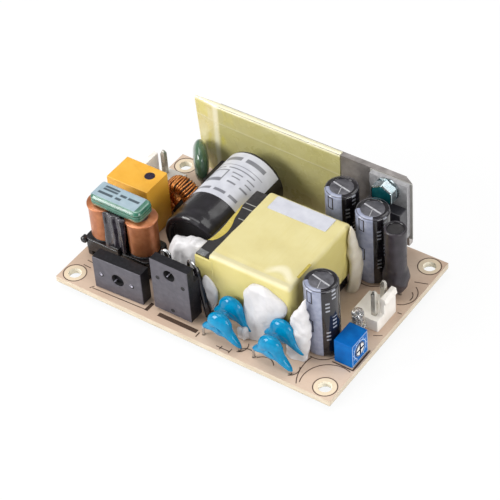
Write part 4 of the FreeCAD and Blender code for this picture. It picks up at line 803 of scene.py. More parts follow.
def line_choke():
    """The line choke.  A winding is turned about z: its radius ripples as |sin z|, a turn for each pitch of
    the wire, is drawn in at the foot and swells to a rim at the top.  The taped yoke is a box with round
    corners whose sides ripple with the height, the former is boxes and turned discs."""
    low, high = span("line_choke_windings")
    mid_x, mid_y, radius = (low[0] + high[0]) / 2, (low[1] + high[1]) / 2, (high[1] - low[1]) / 2
    xs = (low[0] + radius, high[0] - radius)
    z0, z1 = low[2] - 0.3, high[2] + 0.15
    wire_pitch = 0.36
    z = np.linspace(z0, z1, 200)
    ripple = 0.04 * np.abs(np.sin(np.pi * (z - z0) / wire_pitch))
    foot = 0.35 * smooth_step(z, z0 + 0.5, z0)
    rim = 0.25 * smooth_step(z, z1 - 0.8, z1 - 0.6) - 0.3 * smooth_step(z, z1 - 0.2, z1) ** 2
    coils = [capped(lathe(radius - 0.05 + ripple - foot + rim, z, (x, mid_y, 0), sides=96)) for x in xs]
    piece("choke_coils", coils, COIL, ("line_choke_windings",), sharp=60)
    core_low, core_high = span("line_choke_core")
    top, under = core_high[2], core_high[2] - 2.9
    yoke = block((core_low[0], core_low[1], under), core_high, 1.5, 0.9, 0.5, 10, 4, 9)
    yoke[..., 1] -= 0.05 * np.sin(yoke[..., 2] * 5.5) * (np.abs(yoke[..., 2] - top + 1.5) < 1.3)
    piece("choke_yoke", [yoke], GREEN_TAPE, ("line_choke_core",))
    legs = [capped(lathe([1.7, 1.7], [z0, under + 0.3], (x, mid_y, 0), sides=32)) for x in xs]
    piece("choke_legs", legs, FERRITE)
    floor = TOP + 5.5

    def bar(x0, x1, y0, y1, z0, z1, plan, edge):
        """A block whose x and y count from the middle of the windings."""
        return block((mid_x + x0, mid_y + y0, z0), (mid_x + x1, mid_y + y1, z1), plan, edge)

    base = bar(-9.2, 9.2, -4.1, 4.1, TOP + 1.6, floor - 0.9, 0.8, 0.35)
    deck = bar(-9.4, 9.4, -4.3, 4.3, floor - 1.2, floor, 1.6, 0.3)
    knob = lathe([0, 0.6, 0.9, 0.9, 0.6, 0], [0, 0, 0.25, 1.4, 1.6, 1.6],
                 (mid_x - 9.4, mid_y - 4.7, floor - 0.9), 1, 24)
    wall = bar(-1.5, 1.5, -3.2, 3.4, floor - 0.2, under - 0.15, 0.9, 0.3)
    feet = [bar(a, a + 1.3, b, b + 1.3, TOP + 0.05, floor - 0.5, 0.2, 0.15)
            for a in (-8.9, 7.6) for b in (-3.9, 2.6)]
    discs = [lathe([0, 3.6, 3.8, 3.8, 3.6, 0], [-0.2, -0.2, -0.05, 0.3, 0.45, 0.45], (x, mid_y, floor),
                   sides=48) for x in xs]
    hook = [bar(-0.9, 1.7, -5.0, -4.0, floor + 0.9, floor + 1.7, 0.3, 0.2),
            bar(0.9, 1.7, -5.0, -4.0, floor - 0.9, floor + 1.4, 0.3, 0.2)]
    piece("choke_former", [base, deck, knob, wall, *feet, *discs, *hook], BOBBIN,
          ("line_choke_bobbin",))
    # the front sheet is a wide slab whose foot stands forward, pleated by upright waves
    sheet = block((mid_x - 2.9, mid_y - 3.75, floor + 0.1), (mid_x + 3.1, mid_y - 2.9, under - 0.1),
                  0.35, 0.3, 0.3, 24, 3, 16)
    fall = np.clip((under - sheet[..., 2]) / 9, 0, 1)
    sheet[..., 1] -= 0.55 * fall**2 + 0.18 * np.sin(2.6 * sheet[..., 0] + 0.25 * sheet[..., 2])
    sheet[..., 1] += lumps(sheet * (1, 1, 0.4), 1.6, 0.16, 8)
    piece("choke_front_sheet", [sheet], PLEATED, sharp=70)
    # the label follows the yoke's edges, which are rounded with radius 0.9
    round_r, flat_half = 0.9, 2.1
    x = np.linspace(core_low[0] + 0.35, core_low[0] + 12.9, 50)
    y = np.linspace(-2.3, 2.85, 36)
    drop = round_r - np.sqrt(round_r**2 - np.clip(np.abs(y) - flat_half, 0, 0.85) ** 2)
    rise = np.concatenate([top - drop + 0.05, (top - drop - 0.05)[::-1]])
    left_drop = (round_r - np.sqrt(round_r**2 - np.clip(core_low[0] + round_r - x, 0, 0.8) ** 2))[:, None]
    wide = mid_y + np.concatenate([y, y[::-1]])
    grid = np.stack([x[:, None] + 0 * wide, wide + 0 * x[:, None], rise - left_drop], -1)
    label = piece("choke_label_sheet", [capped(grid)], PALE_LABEL, ("line_choke_label",),
                  sharp=60)
    share = (corners(label)[:, :2] - (x[0], mid_y + y[0])) / (x[-1] - x[0], y[-1] - y[0])
    fields = [(0.14, 0.46, 0.5, 0.78), (0.52, 0.66, 0.48, 0.62), (0.7, 0.95, 0.48, 0.62),
              (0.1, 0.42, 0.22, 0.36), (0.48, 0.6, 0.22, 0.36), (0.14, 0.46, 0.62, 0.66, 0.2)]
    mark_print(label, share, fields, 0.9)


def mark_print(sheet, share, fields, depth):
    """Stores how much each point is printed: depth inside a field (u0, u1, v0, v1), 0 elsewhere.  A
    fifth number in a field is its share of that depth, and later fields lie over earlier ones."""
    ink = np.zeros(len(share))
    for u0, u1, v0, v1, *part in fields:
        within = (share[:, 0] > u0) & (share[:, 0] < u1) & (share[:, 1] > v0) & (share[:, 1] < v1)
        ink = np.where(within, depth * (part[0] if part else 1), ink)
    sheet.data.attributes.new("print", "FLOAT", "POINT").data.foreach_set("value", ink.astype(np.float32))


def x_capacitor():
    """The amber film capacitor: the CAD's box with eased edges, and a low turned disc as its dark mark."""
    eased("film_capacitor_case", "x_capacitor_box", AMBER, 0.3)
    low, high = span("x_capacitor_box")
    centre = (low[0] + 8.8, (low[1] + high[1]) / 2 + 1.2, high[2])
    mark = lathe([0, 1.0, 1.27, 1.27, 0], [-0.08, -0.06, -0.12, -0.32, -0.32], centre)
    piece("film_capacitor_mark", [mark], MARK)


def toroid():
    """The small ring inductor: separate turns, each a rounded loop round the ring."""
    dress(RING, "toroid_core")
    dress(COPPER, "toroid_leads")
    low, high = span("toroid_core")
    centre = (low + high) / 2
    wire, count, core_inner = 0.27, 34, 2.5
    outer, inner, half = (high[0] - low[0]) / 2 + 0.3, core_inner - 0.3, (high[1] - low[1]) / 2 + 0.3
    p = np.linspace(0, TAU, 32, endpoint=False)
    # a superellipse between the inner and outer radius
    c, s = np.cos(p), np.sin(p)
    across = (outer + inner) / 2 + (outer - inner) / 2 * np.sign(c) * np.abs(c) ** 0.55
    along = half * np.sign(s) * np.abs(s) ** 0.55
    rng = np.random.default_rng(7)
    turns = []
    for i in range(count):
        a = math.radians(115 + 310 * i / (count - 1)) + rng.uniform(-0.03, 0.03)
        lean = rng.uniform(-0.05, 0.09) * along
        grow = 1 + rng.uniform(-0.008, 0.012)
        at = a + lean / 5
        path = np.stack([across * grow * np.cos(at), along, -across * grow * np.sin(at)], -1)
        turns.append(tube(path + centre, wire, 8, (-math.sin(a), 0, -math.cos(a)), looped=True))
    piece("ring_turns", turns, COPPER, ("toroid_winding",), sharp=80)


def thermistor():
    """The green coated disc: a lens with a fuller rim, standing turned, with the coating run onto its
    legs."""
    low, high = span("thermistor_disc")
    centre, r = (low + high) / 2, (high[2] - low[2]) / 2
    turn, half = math.radians(38), 1.85
    t = np.linspace(-np.pi / 2, np.pi / 2, 40)
    lens = lathe(r * np.cos(t) ** 0.72, half * np.sin(t), (0, 0, 0), 0, 72)
    lens += unit(lens + 1e-9) * lumps(lens, 5, 0.12, 11)[..., None]
    c, s = math.cos(turn), math.sin(turn)
    spin = np.array([[c, -s, 0], [s, c, 0], [0, 0, 1]])
    grids = [lens @ spin.T + centre]
    for k in (-2.5, 2.5):
        foot = centre + (-k * s, k * c, -r)
        z = np.linspace(0, 1, 12)
        grids.append(capped(lathe(0.32 + 0.75 * (1 - z) ** 2.2, r * 0.35 - z * 3.2, foot, sides=20)))
    piece("thermistor_coating", grids, DISC_GREEN, ("thermistor_disc",), sharp=80)


def headers():
    """The two headers: nylon with eased edges, and square pins, which are tubes of four sides that narrow
    at the tip."""
    eased("mains_header_housing", "ac_header", NYLON, 0.15)
    eased("output_header_housing", "output_header", NYLON, 0.15)
    pin_side, top = 1.14, TOP + 10.4
    z = np.array([0, 0.05, top - 1.0, top - 0.9, top - 0.15, top])
    r = pin_side / 2 ** 0.5 * np.array([0.9, 1, 1, 0.97, 0.55, 0.4])
    paths = [np.stack([0 * z + x, 0 * z + y, z], -1)
             for x, y in ((-35.2, 6.78), (-35.2, 14.7), (34, -0.24), (34, 3.72))]
    posts = [tube(path, r, 4, (1, 0, 0), turn=np.pi / 4) for path in paths]
    piece("header_posts", posts, TIN_PIN, ("header_pins",), ease=0.08)


def bulk_capacitor():
    """The bulk capacitor lying down.  Its shrunk sleeve is a profile turned about y, crumpled by lumps and
    most near the lip; its label is part of a cylinder, with plain bars."""
    dress(CAN, "bulk_capacitor_can")
    dress(BUNG_AND_SHADE, "capacitor_bungs")
    dress(TINNED, "bulk_capacitor_leads")
    low, high = span("bulk_capacitor_sleeve")
    centre = np.array([(low[0] + high[0]) / 2, low[1], (low[2] + high[2]) / 2])
    r, length = (high[2] - low[2]) / 2, high[1] - low[1]
    a = np.linspace(0, np.pi, 12)
    lip, rear = 0.95, 0.45
    # from the bung out over the lip, along the side and round the rear edge
    y = np.concatenate([[2.0, 1.5], lip * (1 - np.sin(a)), [1.5, 2.1, 2.7, 3.3, 4.2, 6, 10, 14, 20],
                        length - rear + rear * np.sin(a[:6] * 0.9),
                        [length - 0.02, length - 0.2, length - 0.2]])
    radii = np.concatenate([[0.0, 5.7], r - lip - 0.12 - lip * np.cos(a),
                            [r - 0.12, r - 0.2, r - 0.2, r - 0.1, r - 0.02, r, r, r, r],
                            r - rear + rear * np.cos(a[:6] * 0.9), [6.6, 6.4, 0.0]])
    shell = lathe(radii, y, centre, 1, 140)
    wave = lumps(shell * (1, 0.5, 1), 3, 0.16, 5)[..., None]
    crumple = 0.15 + 0.85 * smooth_step(shell[..., 1] - centre[1], 6, 1)[..., None]
    shell[..., (0, 2)] -= np.abs(wave) * crumple * unit(shell[..., (0, 2)] - centre[[0, 2]] + 1e-9)
    piece("bulk_sleeve_skin", [shell], SLEEVE, ("bulk_capacitor_sleeve",), sharp=70)
    low, high = span("bulk_capacitor_label")
    start, long = low[1] - centre[1], high[1] - low[1] - 0.15
    # the label is a thin shell round the side, its inner face sunk in the sleeve
    a = np.radians(np.linspace(27, 208, 130))
    v = np.linspace(0, 1, 90)
    sheet_r = np.concatenate([np.full(90, r - 0.15), np.full(90, r + 0.06)])
    sheet_y = low[1] + np.concatenate([v, v[::-1]]) * long
    ring = np.stack([centre[0] + sheet_r * np.cos(a)[:, None], 0 * a[:, None] + sheet_y,
                     centre[2] + sheet_r * np.sin(a)[:, None]], -1)
    sheet = piece("bulk_wrap_label", [capped(ring)], WHITE_LABEL, ("bulk_capacitor_label",),
                  sharp=60)
    at = corners(sheet) - centre
    turn = (np.degrees(np.arctan2(at[:, 2], at[:, 0])) % 360) / 360
    share = np.stack([turn, (at[:, 1] - start) / long], -1)
    fields = [(0.12, 0.42, 0.7, 0.715), (0.28, 0.38, 0.3, 0.58), (0.287, 0.373, 0.38, 0.56, 0),
              (0.2, 0.26, 0.53, 0.56), (0.2, 0.25, 0.45, 0.48), (0.13, 0.18, 0.53, 0.56),
              (0.13, 0.17, 0.44, 0.47), (0.2, 0.25, 0.33, 0.36), (0.13, 0.18, 0.33, 0.36),
              (0.14, 0.19, 0.1, 0.15), (0.21, 0.27, 0.1, 0.15), (0.29, 0.4, 0.1, 0.15),
              (0.14, 0.25, 0.81, 0.89), (0.27, 0.37, 0.81, 0.89), (0.15, 0.3, 0.62, 0.65),
              (0.32, 0.42, 0.62, 0.65)]
    mark_print(sheet, share, fields, 0.75)


def wrap_fold(points, low, high):
    """How far the tape stands out at a point of the wrap's +x face: gift-wrap creases along the lines from
    its corners, and a shallow hollow between them."""
    y = (points[..., 1] - (low[1] + high[1]) / 2) / ((high[1] - low[1]) / 2)
    z = (points[..., 2] - low[2]) / (high[2] - low[2])
    face = smooth_step(points[..., 0], high[0] - 0.8, high[0] - 0.1)
    ridge = np.exp(-((np.abs(y) - (1.05 - 0.5 * (1 - z))) / 0.06) ** 2)
    hollow = np.exp(-((z - 0.45) / 0.3) ** 2) * np.exp(-(y / 0.6) ** 2)
    return face * (0.18 * ridge - 0.1 * hollow - 0.18)


def transformer():
    """The transformer.  The tape wrap is a box with round corners: creases dent its top as bell curves of
    the distance from each, wrap_fold dents its end and lumps pull in its sides.  It laps over the front of
    a ferrite core with a clip; a doubled strip, a tape pad and a bare label lie on it."""
    dress(TAPE, "transformer_winding")
    dress(BOBBIN, "transformer_bobbin")
    dress(TIN_PIN, "moulded_part_pins")
    eased("transformer_ferrite", "transformer_core", FERRITE, 0.3)
    low, high = span("transformer_tape")
    wrap = block(low, high, 0.9, 1.0, 0.5, 44, 20, 20)
    out = unit(wrap - (low + high) / 2)
    on_top = wrap[..., 2] > high[2] - 1.2
    for depth, behind, width in ((0.16, 2.3, 0.25), (0.12, 1.3, 0.3)):
        wrap[..., 2] -= depth * np.exp(-((wrap[..., 1] - low[1] - behind) / width) ** 2) * on_top
    wrap[..., 0] += wrap_fold(wrap, low, high)
    wrap -= out * np.abs(lumps(wrap, 9, 0.16, 21))[..., None]
    core_low, core_high = span("transformer_core")
    # the outer turn also covers the core's front, a little lower than the wrap
    front = block((core_low[0] - 0.04, low[1] - 0.02, low[2]),
                  (low[0] + 1.2, low[1] + 0.5, core_high[2] - 0.25), 0.22, 0.2, 0.2, 12, 3, 16)
    front[..., 1] -= 0.1 * np.abs(lumps(front, 4, 1.0, 26))
    piece("tape_wrap", [wrap, front], TAPE, ("transformer_tape",), sharp=70)
    # a doubled strip of tape along the right end of the top
    x, z = high[0] - 0.75, high[2] - 0.12
    strip = ribbon([(x, low[1] + 4.4, z), (x, low[1] + 9.4, z)], 0.7, 0.12)
    piece("tape_strip", [strip], DOUBLED)
    low, high = span("transformer_band")
    band = block(low, high, 0.4, 0.3, 0.3, 20, 6, 10)
    band += unit(band - (low + high) / 2) * (-np.abs(lumps(band, 5, 0.12, 23)))[..., None]
    # tape from under the core's edge: wide in its middle and narrow at both ends
    y, reach = flow([(-10.9, 0.15), (-10.6, 1.1), (-9.0, 2.0), (-6.5, 2.35), (-4.0, 1.9), (-2.0, 1.2),
                     (0.5, 0.75), (2.6, 0.2)], 6).T
    over, left = core_high[2] - 0.03, core_low[0] - 0.06
    lens = np.stack([np.stack([left + part * reach, y, over + rise + 0 * y], -1)
                     for part, rise in ((0, -0.5), (0.3, 0.1), (1, 0.05), (1, -0.1))], 1)
    piece("tape_band", [band, capped(lens)], DOUBLED, ("transformer_band",), sharp=70)
    # thin silver lines over the core, drawn matt pale grey: their brightness is painted sheen
    lines = [ribbon([(left + a, y, over), (left + 3.4, y, over)], 0.22, 0.05)
             for y, a in ((-1.6, 1.9), (1.95, 0.6), (3.6, 0.3))]
    piece("core_clip_lines", lines, PAD_AND_SHEEN)
    clip = ribbon([(left + 0.2, core_low[1] + 0.95, over), (left + 2.7, core_low[1] + 0.75, over)],
                  1.7, 0.07)
    piece("core_clip", [clip], TINNED)
    sheet = piece("transformer_sticker", [block(*span("transformer_label"), 0.3, 0.03, 0.03, 60, 24, 1)],
                  WHITE_LABEL, ("transformer_label",), sharp=60)
    mark_print(sheet, corners(sheet), [], 0)


def plate_and_film():
    """The heatsink plate, and the film folded over its mains half: a line up the front, round two bends
    over the top and down behind, thickened and swept along x.  Past the plate the two faces near each
    other, and below the top they bulge in soft waves."""
    dress(ALUMINIUM, "heatsink_plate")
    dress(TINNED, "heatsink_feet")
    low, high = span("heatsink_film")
    plate_low, plate_high = span("heatsink_plate")
    thick, bend, behind, n = 0.2, 0.75, 8.9, 60
    front, back, top = low[1] + thick / 2, high[1] - thick / 2, high[2] - thick / 2
    a = np.linspace(0, np.pi / 2, 8)
    z_up = np.linspace(low[2], top - bend, 36)
    z_down = np.linspace(top - bend, top - behind, 16)[1:]
    line_y = np.concatenate([0 * z_up + front, front + bend * (1 - np.cos(a[1:])),
                             back - bend * (1 - np.sin(a)), 0 * z_down + back])
    line_z = np.concatenate([z_up, top - bend * (1 - np.sin(a[1:])), top - bend * (1 - np.cos(a)), z_down])
    line = np.stack([line_y, line_z], -1)
    ahead = unit(np.gradient(line, axis=0))
    normal = np.stack([-ahead[:, 1], ahead[:, 0]], -1)
    ring = np.vstack([line + normal * thick / 2, (line - normal * thick / 2)[::-1]])
    grid = np.empty((n, len(ring), 3))
    grid[..., 0] = np.linspace(low[0], high[0], n)[:, None]
    grid[..., 1:] = ring
    height = (grid[..., 2] - low[2]) / (high[2] - low[2])
    free = smooth_step(grid[..., 0], plate_low[0], low[0])
    grid[..., 0] += 1.3 * free * (1 - height)
    mid = (front + back) / 2
    grid[..., 1] = mid + (grid[..., 1] - mid) * (1 - 0.55 * free)
    wave = np.abs(lumps(grid * (1, 0, 1), 13, 0.35, 31)) * np.sign(mid - grid[..., 1])
    grid[..., 1] -= wave * np.clip(1 - height, 0, 1) * (1 - free)
    piece("film_sheet", [capped(grid)], film_look(plate_low[0], plate_high[2]),
          ("heatsink_film",), sharp=70)


def rectifier():
    """The output rectifier on the plate, with a washer and a hexagon screw: bright sides, a flat end
    painted dark teal as a painted reflection, corners turned down."""
    eased("rectifier_case", "rectifier_body", MOULDING, 0.25)
    dress(TAB, "rectifier_tab")
    dress(PAD_AND_SHEEN, "rectifier_pad")
    low, high = span("rectifier_screw")
    centre = np.array([(low[0] + high[0]) / 2, low[1], (low[2] + high[2]) / 2])
    r = (high[0] - low[0]) / 2
    low_w, high_w = span("rectifier_washer")
    # as wide as the head, because the photograph shows nothing of a wider one
    ring = lathe([1.6, r - 0.15, r, r, r - 0.1, 1.6, 1.6], np.array([0, 0, 0.15, 0.8, 1, 1, 0])
                 * (high_w[1] - low_w[1]), (centre[0], low_w[1], centre[2]), 1, 48)
    piece("washer_ring", [ring], STEEL, ("rectifier_washer",))
    a = np.linspace(0, TAU, 72, endpoint=False)
    flat = math.cos(math.pi / 6) / np.cos((a + np.pi / 6) % (np.pi / 3) - np.pi / 6)

    def hexagon(share, y):
        """Rings that are round where small and hexagonal where wide."""
        share, y = np.array(share)[:, None], np.array(y)[:, None]
        reach = r * np.minimum(share, flat * np.minimum(share * 1.04, 1.0))
        return centre + np.stack([reach * np.cos(a), y + 0 * a, reach * np.sin(a)], -1)

    head = hexagon([0, 0.88, 0.94, 0.98, 1.0, 1.0, 1.0, 0.5], [0.05, 0.05, 0.1, 0.25, 0.45, 2.2, 2.6, 2.6])
    end = hexagon([0, 0.84, 0.86, 0.86, 0], [0.0, 0.0, 0.02, 0.1, 0.1])
    shank = lathe([1.5, 1.5, 1.2], [2.5, high[1] - low[1] - 0.3, high[1] - low[1]], centre, 1, 32)
    piece("hexagon_screw", [head, capped(shank)], STEEL, ("rectifier_screw",), sharp=25)
    # painted reflection: the screw's end face in dark teal
    piece("screw_end", [end], REFLECTED_TEAL, sharp=25)


def output_capacitors():
    """Three upright capacitors.  The striped sleeve is turned about z, curves a quarter round over the rim
    and is pinched there by lumps; the can top is a low turned dish with flat strips as its scores, paler
    than the can as a painted highlight."""
    dress(CAN, "output_capacitor_cans")
    high = span("output_capacitor_sleeves")[1][2]
    base, r = TOP + 0.3, 4.0
    a = np.linspace(0, np.pi / 2, 10)
    z = np.concatenate([base + np.array([0.05, 0, 0.4, 1.3, 1.9, 2.4, 3.2]),
                        np.linspace(base + 4, high - 0.8, 10), high - 0.7 + 0.7 * np.sin(a),
                        [high - 0.12, high - 0.3]])
    radii = np.concatenate([r - np.array([0.9, 0.3, 0, 0, 0.05, 0.05, 0]), np.full(10, r),
                            r - 1.1 + 1.1 * np.cos(a), [r - 1.2, r - 1.22]])
    skins, tops, scores = [], [], []
    for x, y in CANS:
        skin = lathe(radii, z, (x, y, 0), sides=96)
        pinch = lumps(skin, 1.2, 0.06, 3) * smooth_step(z, high - 1.2, high - 0.3)[:, None]
        skin[..., :2] += pinch[..., None]
        skins.append(capped(skin))
        tops.append(lathe([0, 2.2, 2.7, 2.95, 2.95, 0], [-0.16, -0.16, -0.18, -0.24, -0.5, -0.5],
                          (x, y, high)))
        # the scores are real marks; their pale colour is painted highlight
        for turn, width in ((168, 0.36), (348, 0.36), (285, 0.14)):
            way = np.array([math.cos(math.radians(turn)), math.sin(math.radians(turn)), 0])
            line = [np.array([x, y, high - 0.17]) + way * d for d in (0.05, 1.3, 2.6)]
            scores.append(ribbon(line, width, 0.06))
    piece("capacitor_skins", skins, STRIPED, ("output_capacitor_sleeves",), sharp=70)
    piece("capacitor_tops", tops, CAN, sharp=60)
    piece("capacitor_scores", scores, SCORE_HIGHLIGHT)


def rod_choke():
    """The rod choke in heat-shrink: a smooth profile turned about z, with a half-round lip at the top and a
    bulge where the coil ends, wrinkled by sines of the turn and the height that fade away from it."""
    dress(FERRITE, "rod_choke_core")
    low, high = span("rod_choke_sleeve")
    x, y, top = (low[0] + high[0]) / 2, (low[1] + high[1]) / 2, high[2] - TOP
    points = [(1.4, 0.95), (1.75, 1.2), (2.5, 2.6), (3.0, 4.2), (3.15, 5.6), (3.0, 6.8), (2.65, 8.2),
              (2.52, 9.6), (2.5, 12), (2.52, 15), (2.55, 17.6), (2.6, top - 0.9), (2.6, top - 0.4)]
    r, z = flow(points, 6).T
    a = np.linspace(0, np.pi, 9)
    r = np.concatenate([r, 2.25 + 0.35 * np.cos(a)[1:], [1.85, 0.0]])
    z = np.concatenate([z, top - 0.4 + 0.4 * np.sin(a)[1:], [top - 1.3, top - 1.3]]) + TOP
    shell = lathe(r, z, (x, y, 0), sides=80)
    turn, up = np.arctan2(shell[..., 1] - y, shell[..., 0] - x), shell[..., 2]
    wrinkle = 0.1 * np.sin(5 * turn + 1.7 * up) * np.exp(-((up - TOP - 4.4) / 2.2) ** 2)
    wrinkle -= 0.1 * (1 + np.sin(3 * turn)) * np.exp(-((up - TOP - 8.1) / 0.7) ** 2)
    wrinkle *= (r > 1.0)[:, None]
    shell[..., :2] += wrinkle[..., None] * np.stack([np.cos(turn), np.sin(turn)], -1)
    piece("rod_shrink_skin", [capped(shell)], SHRINK, ("rod_choke_sleeve",), sharp=70)
    rim_r, rim_wire = 2.1, 0.26
    a = np.linspace(0, TAU, 48, endpoint=False)
    path = np.stack([x + rim_r * np.cos(a), y + rim_r * np.sin(a), np.full(48, top + TOP - rim_wire)], -1)
    piece("rod_rim", [tube(path, rim_wire, 12, looped=True)], SHRUNK_LEAD)


def indicator():
    """The clear indicator: a lens turned about z, with a foot flange and a half ball on top, and its lead
    frame inside."""
    low, high = span("led_lens")
    dome = 1.5
    x, y, z0, z1 = (low[0] + high[0]) / 2, (low[1] + high[1]) / 2, low[2], high[2] - dome
    t = np.linspace(0, np.pi / 2, 10)
    r = np.concatenate([[0, 1.85, 1.9, 1.9, 1.8, dome, dome], dome * np.cos(t)[1:]])
    z = np.concatenate([z0 + np.array([0, 0, 0.1, 0.9, 1.0, 1.05]), [z1 - 0.1], z1 + dome * np.sin(t)[1:]])
    lens = lathe(r, z, (x, y, 0), sides=48)
    piece("indicator_lens", [lens], LENS, ("led_lens",), sharp=50)
    post = block((x - 0.75, y - 0.2, z0 + 0.2), (x - 0.25, y + 0.2, z0 + 2.9), 0.08, 0.08)
    anvil = block((x + 0.05, y - 0.25, z0 + 0.2), (x + 0.75, y + 0.25, z0 + 2.6), 0.08, 0.08)
    cup = lathe([0, 0.3, 0.5, 0.55, 0.5, 0.2, 0], [0, 0, 0.6, 0.62, 0.6, 0.2, 0.2], (x + 0.3, y, z0 + 2.5),
                sides=24)
    arch = [(x - 0.5, y, z0 + 2.9), (x - 0.1, y, z0 + 3.4), (x + 0.3, y, z0 + 2.9)]
    bond = tube(flow(arch), 0.04, 6, (0, 1, 0))
    piece("indicator_frame", [post, anvil, cup, bond], TINNED)


def trimmer():
    """The blue trimmer with a pale dial printed round its rotor: an arc, its ticks and a square border."""
    eased("trimmer_case", "trimmer_body", TRIMMER, 0.18)
    dress(ROTOR, "trimmer_rotor")
    low, high = span("trimmer_body")
    face, y, z = high[0], (low[1] + high[1]) / 2, (low[2] + high[2]) / 2

    def on_face(points, width):
        """A printed line on the +x face through points (u, v), counted from its middle along y and z."""
        return ribbon([(face - 0.01, y + u, z + v) for u, v in points], width, 0.03, (1, 0, 0))

    a = np.radians(np.linspace(-60, 240, 50))
    marks = [on_face(np.stack([2.35 * np.cos(a), 2.35 * np.sin(a)], -1), 0.16)]
    for d in range(-60, 241, 30):
        c, s = math.cos(math.radians(d)), math.sin(math.radians(d))
        marks.append(on_face([(2.45 * c, 2.45 * s), (2.85 * c, 2.85 * s)], 0.16))
    edge = (high[1] - low[1]) / 2 - 0.3
    marks += [on_face([(a * edge, b * edge), (c * edge, d * edge)], 0.12)
              for a, b, c, d in ((-1, -1, 1, -1), (-1, 1, 1, 1), (-1, -1, -1, 1), (1, -1, 1, 1))]
    piece("trimmer_dial", marks, DIAL)


def disc_capacitor(x, y, z, seed):
    """A dipped disc: about its centre the outline is R plus a long bump towards the low right lead and
    a short one towards the left lead; across its thickness it swells as the sine of a half turn."""
    a = np.linspace(0, TAU, 140, endpoint=False)
    t = np.linspace(-np.pi / 2, np.pi / 2, 26)

    def bump(reach, at, width, power):
        """reach times e to the minus (degrees from at / width) to the power."""
        d = (np.degrees(a) - at + 180) % 360 - 180
        return reach * np.exp(-np.abs(d / width) ** power)

    outline = 3.15 + bump(0.4, -95, 40, 2) + bump(1.3, -40, 22, 2) + bump(2.9, -42, 9, 2)
    outline += bump(0.5, 210, 26, 2) + bump(2.1, 212, 12, 2)
    r = outline * np.cos(t)[:, None] ** 0.8
    depth = 1.5 * np.sin(t)[:, None] * (0.62 + 0.38 * 3.4 / outline)
    disc = np.stack([r * np.cos(a), depth + 0 * a, r * np.sin(a)], -1)
    disc += unit(disc + 1e-9) * lumps(disc, 4, 0.1, seed)[..., None]
    return disc + (x, y, z)


def disc_capacitors():
    """Four blue dipped discs in two pairs, the rear ones a little higher."""
    dress(TINNED, "component_leads")
    places = [(x, y, TOP + z) for x in (7.6, 21.3) for y, z in ((-22.9, 5.9), (-18.2, 6.9))]
    grids = [disc_capacitor(*place, 76 + 20 * n) for n, place in enumerate(places)]
    piece("dipped_discs", grids, EPOXY_BLUE, ("blue_capacitor_discs",), sharp=80)


def silicone():
    """White fixing silicone: sheets and lumps that were laid soft against the parts they hold."""
    round_shape = ball(48, 72)
    # a cushion: a ball made boxy, leaning up towards the transformer, with upright folds and a small horn
    a = np.sign(round_shape) * np.abs(round_shape) ** 0.66 * (6.2, 2.3, 6.6)
    a[..., 2] += 0.38 * a[..., 0] * (round_shape[..., 2] + 1) / 2
    a += round_shape * (lumps(a * (1, 1, 0.35), 3.0, 0.5, 41) + lumps(a, 1.5, 0.1, 42))[..., None]
    a[..., 2] += 0.9 * np.exp(-((a[..., 0] + 4.9) / 0.8) ** 2) * np.clip(round_shape[..., 2], 0, 1)
    a += (-8.7, -10.4, TOP + 7.4)
    b = drape([(-0.2, -16.6, 11.9), (0.0, -16.6, 11.2), (0.5, -16.6, 9), (0.4, -16.6, 6), (-0.3, -16.6, 3),
               (-0.8, -16.6, 0.2)], [0.1, 0.9, 2.0, 2.5, 2.1, 1.2], 0.75, 43)
    c = drape([(15.2, -16.5, 16.2), (15.2, -16.5, 15.6), (15.9, -16.5, 14), (16.0, -16.6, 12),
               (15.4, -16.7, 9), (14.2, -16.9, 6), (13.0, -17.2, 3), (12.6, -17.5, 0.2)],
              [0.2, 2.4, 4.6, 5.8, 5.3, 4.7, 4.0, 3.0], 1.5, 44, 0.5, 4.0, sides=64)
    nub = blob((11.2, -19.3, TOP + 1.8), (1.6, 1.0, 1.9), 49, 0.5, 1.5)
    e = drape([(27.0, -16.6, 18.2), (26.4, -16.7, 16.6), (26.0, -16.8, 14.4), (25.5, -16.9, 12),
               (25.5, -17.0, 9.3), (25.2, -17.1, 6), (24.6, -17.4, 2.6), (24.4, -17.8, 0.1)],
              [0.1, 0.55, 1.2, 2.2, 2.75, 2.9, 3.0, 2.6], 1.25, 45, 0.45, 2.6, sides=64)
    f = drape([(7.2, 23.5, 19.0), (7.4, 23.5, 17), (7.5, 23.6, 14.4), (7.8, 23.7, 11), (8.6, 23.8, 6),
               (7.8, 23.7, 2), (6.6, 23.6, 0.1)],
              [0.2, 0.7, 1.2, 1.7, 2.4, 2.2, 1.4], 1.35, 46, 0.4, 2.8, "y", 56)
    piece("silicone_lumps", [a, b, c, nub, e], SILICONE, ("fixing_silicone",), sharp=80)
    piece("silicone_warm", [f], WARM_SILICONE, ("fixing_silicone",), sharp=80)


def small_parts():
    """What stays as the CAD has it, finished: fuse and optocoupler."""
    eased("fuse_case", "fuse_body", FUSE, 0.25)
    eased("optocoupler_case", "optocoupler_body", MOULDING, 0.15)
    dress(TIN_PIN, "optocoupler_leads")


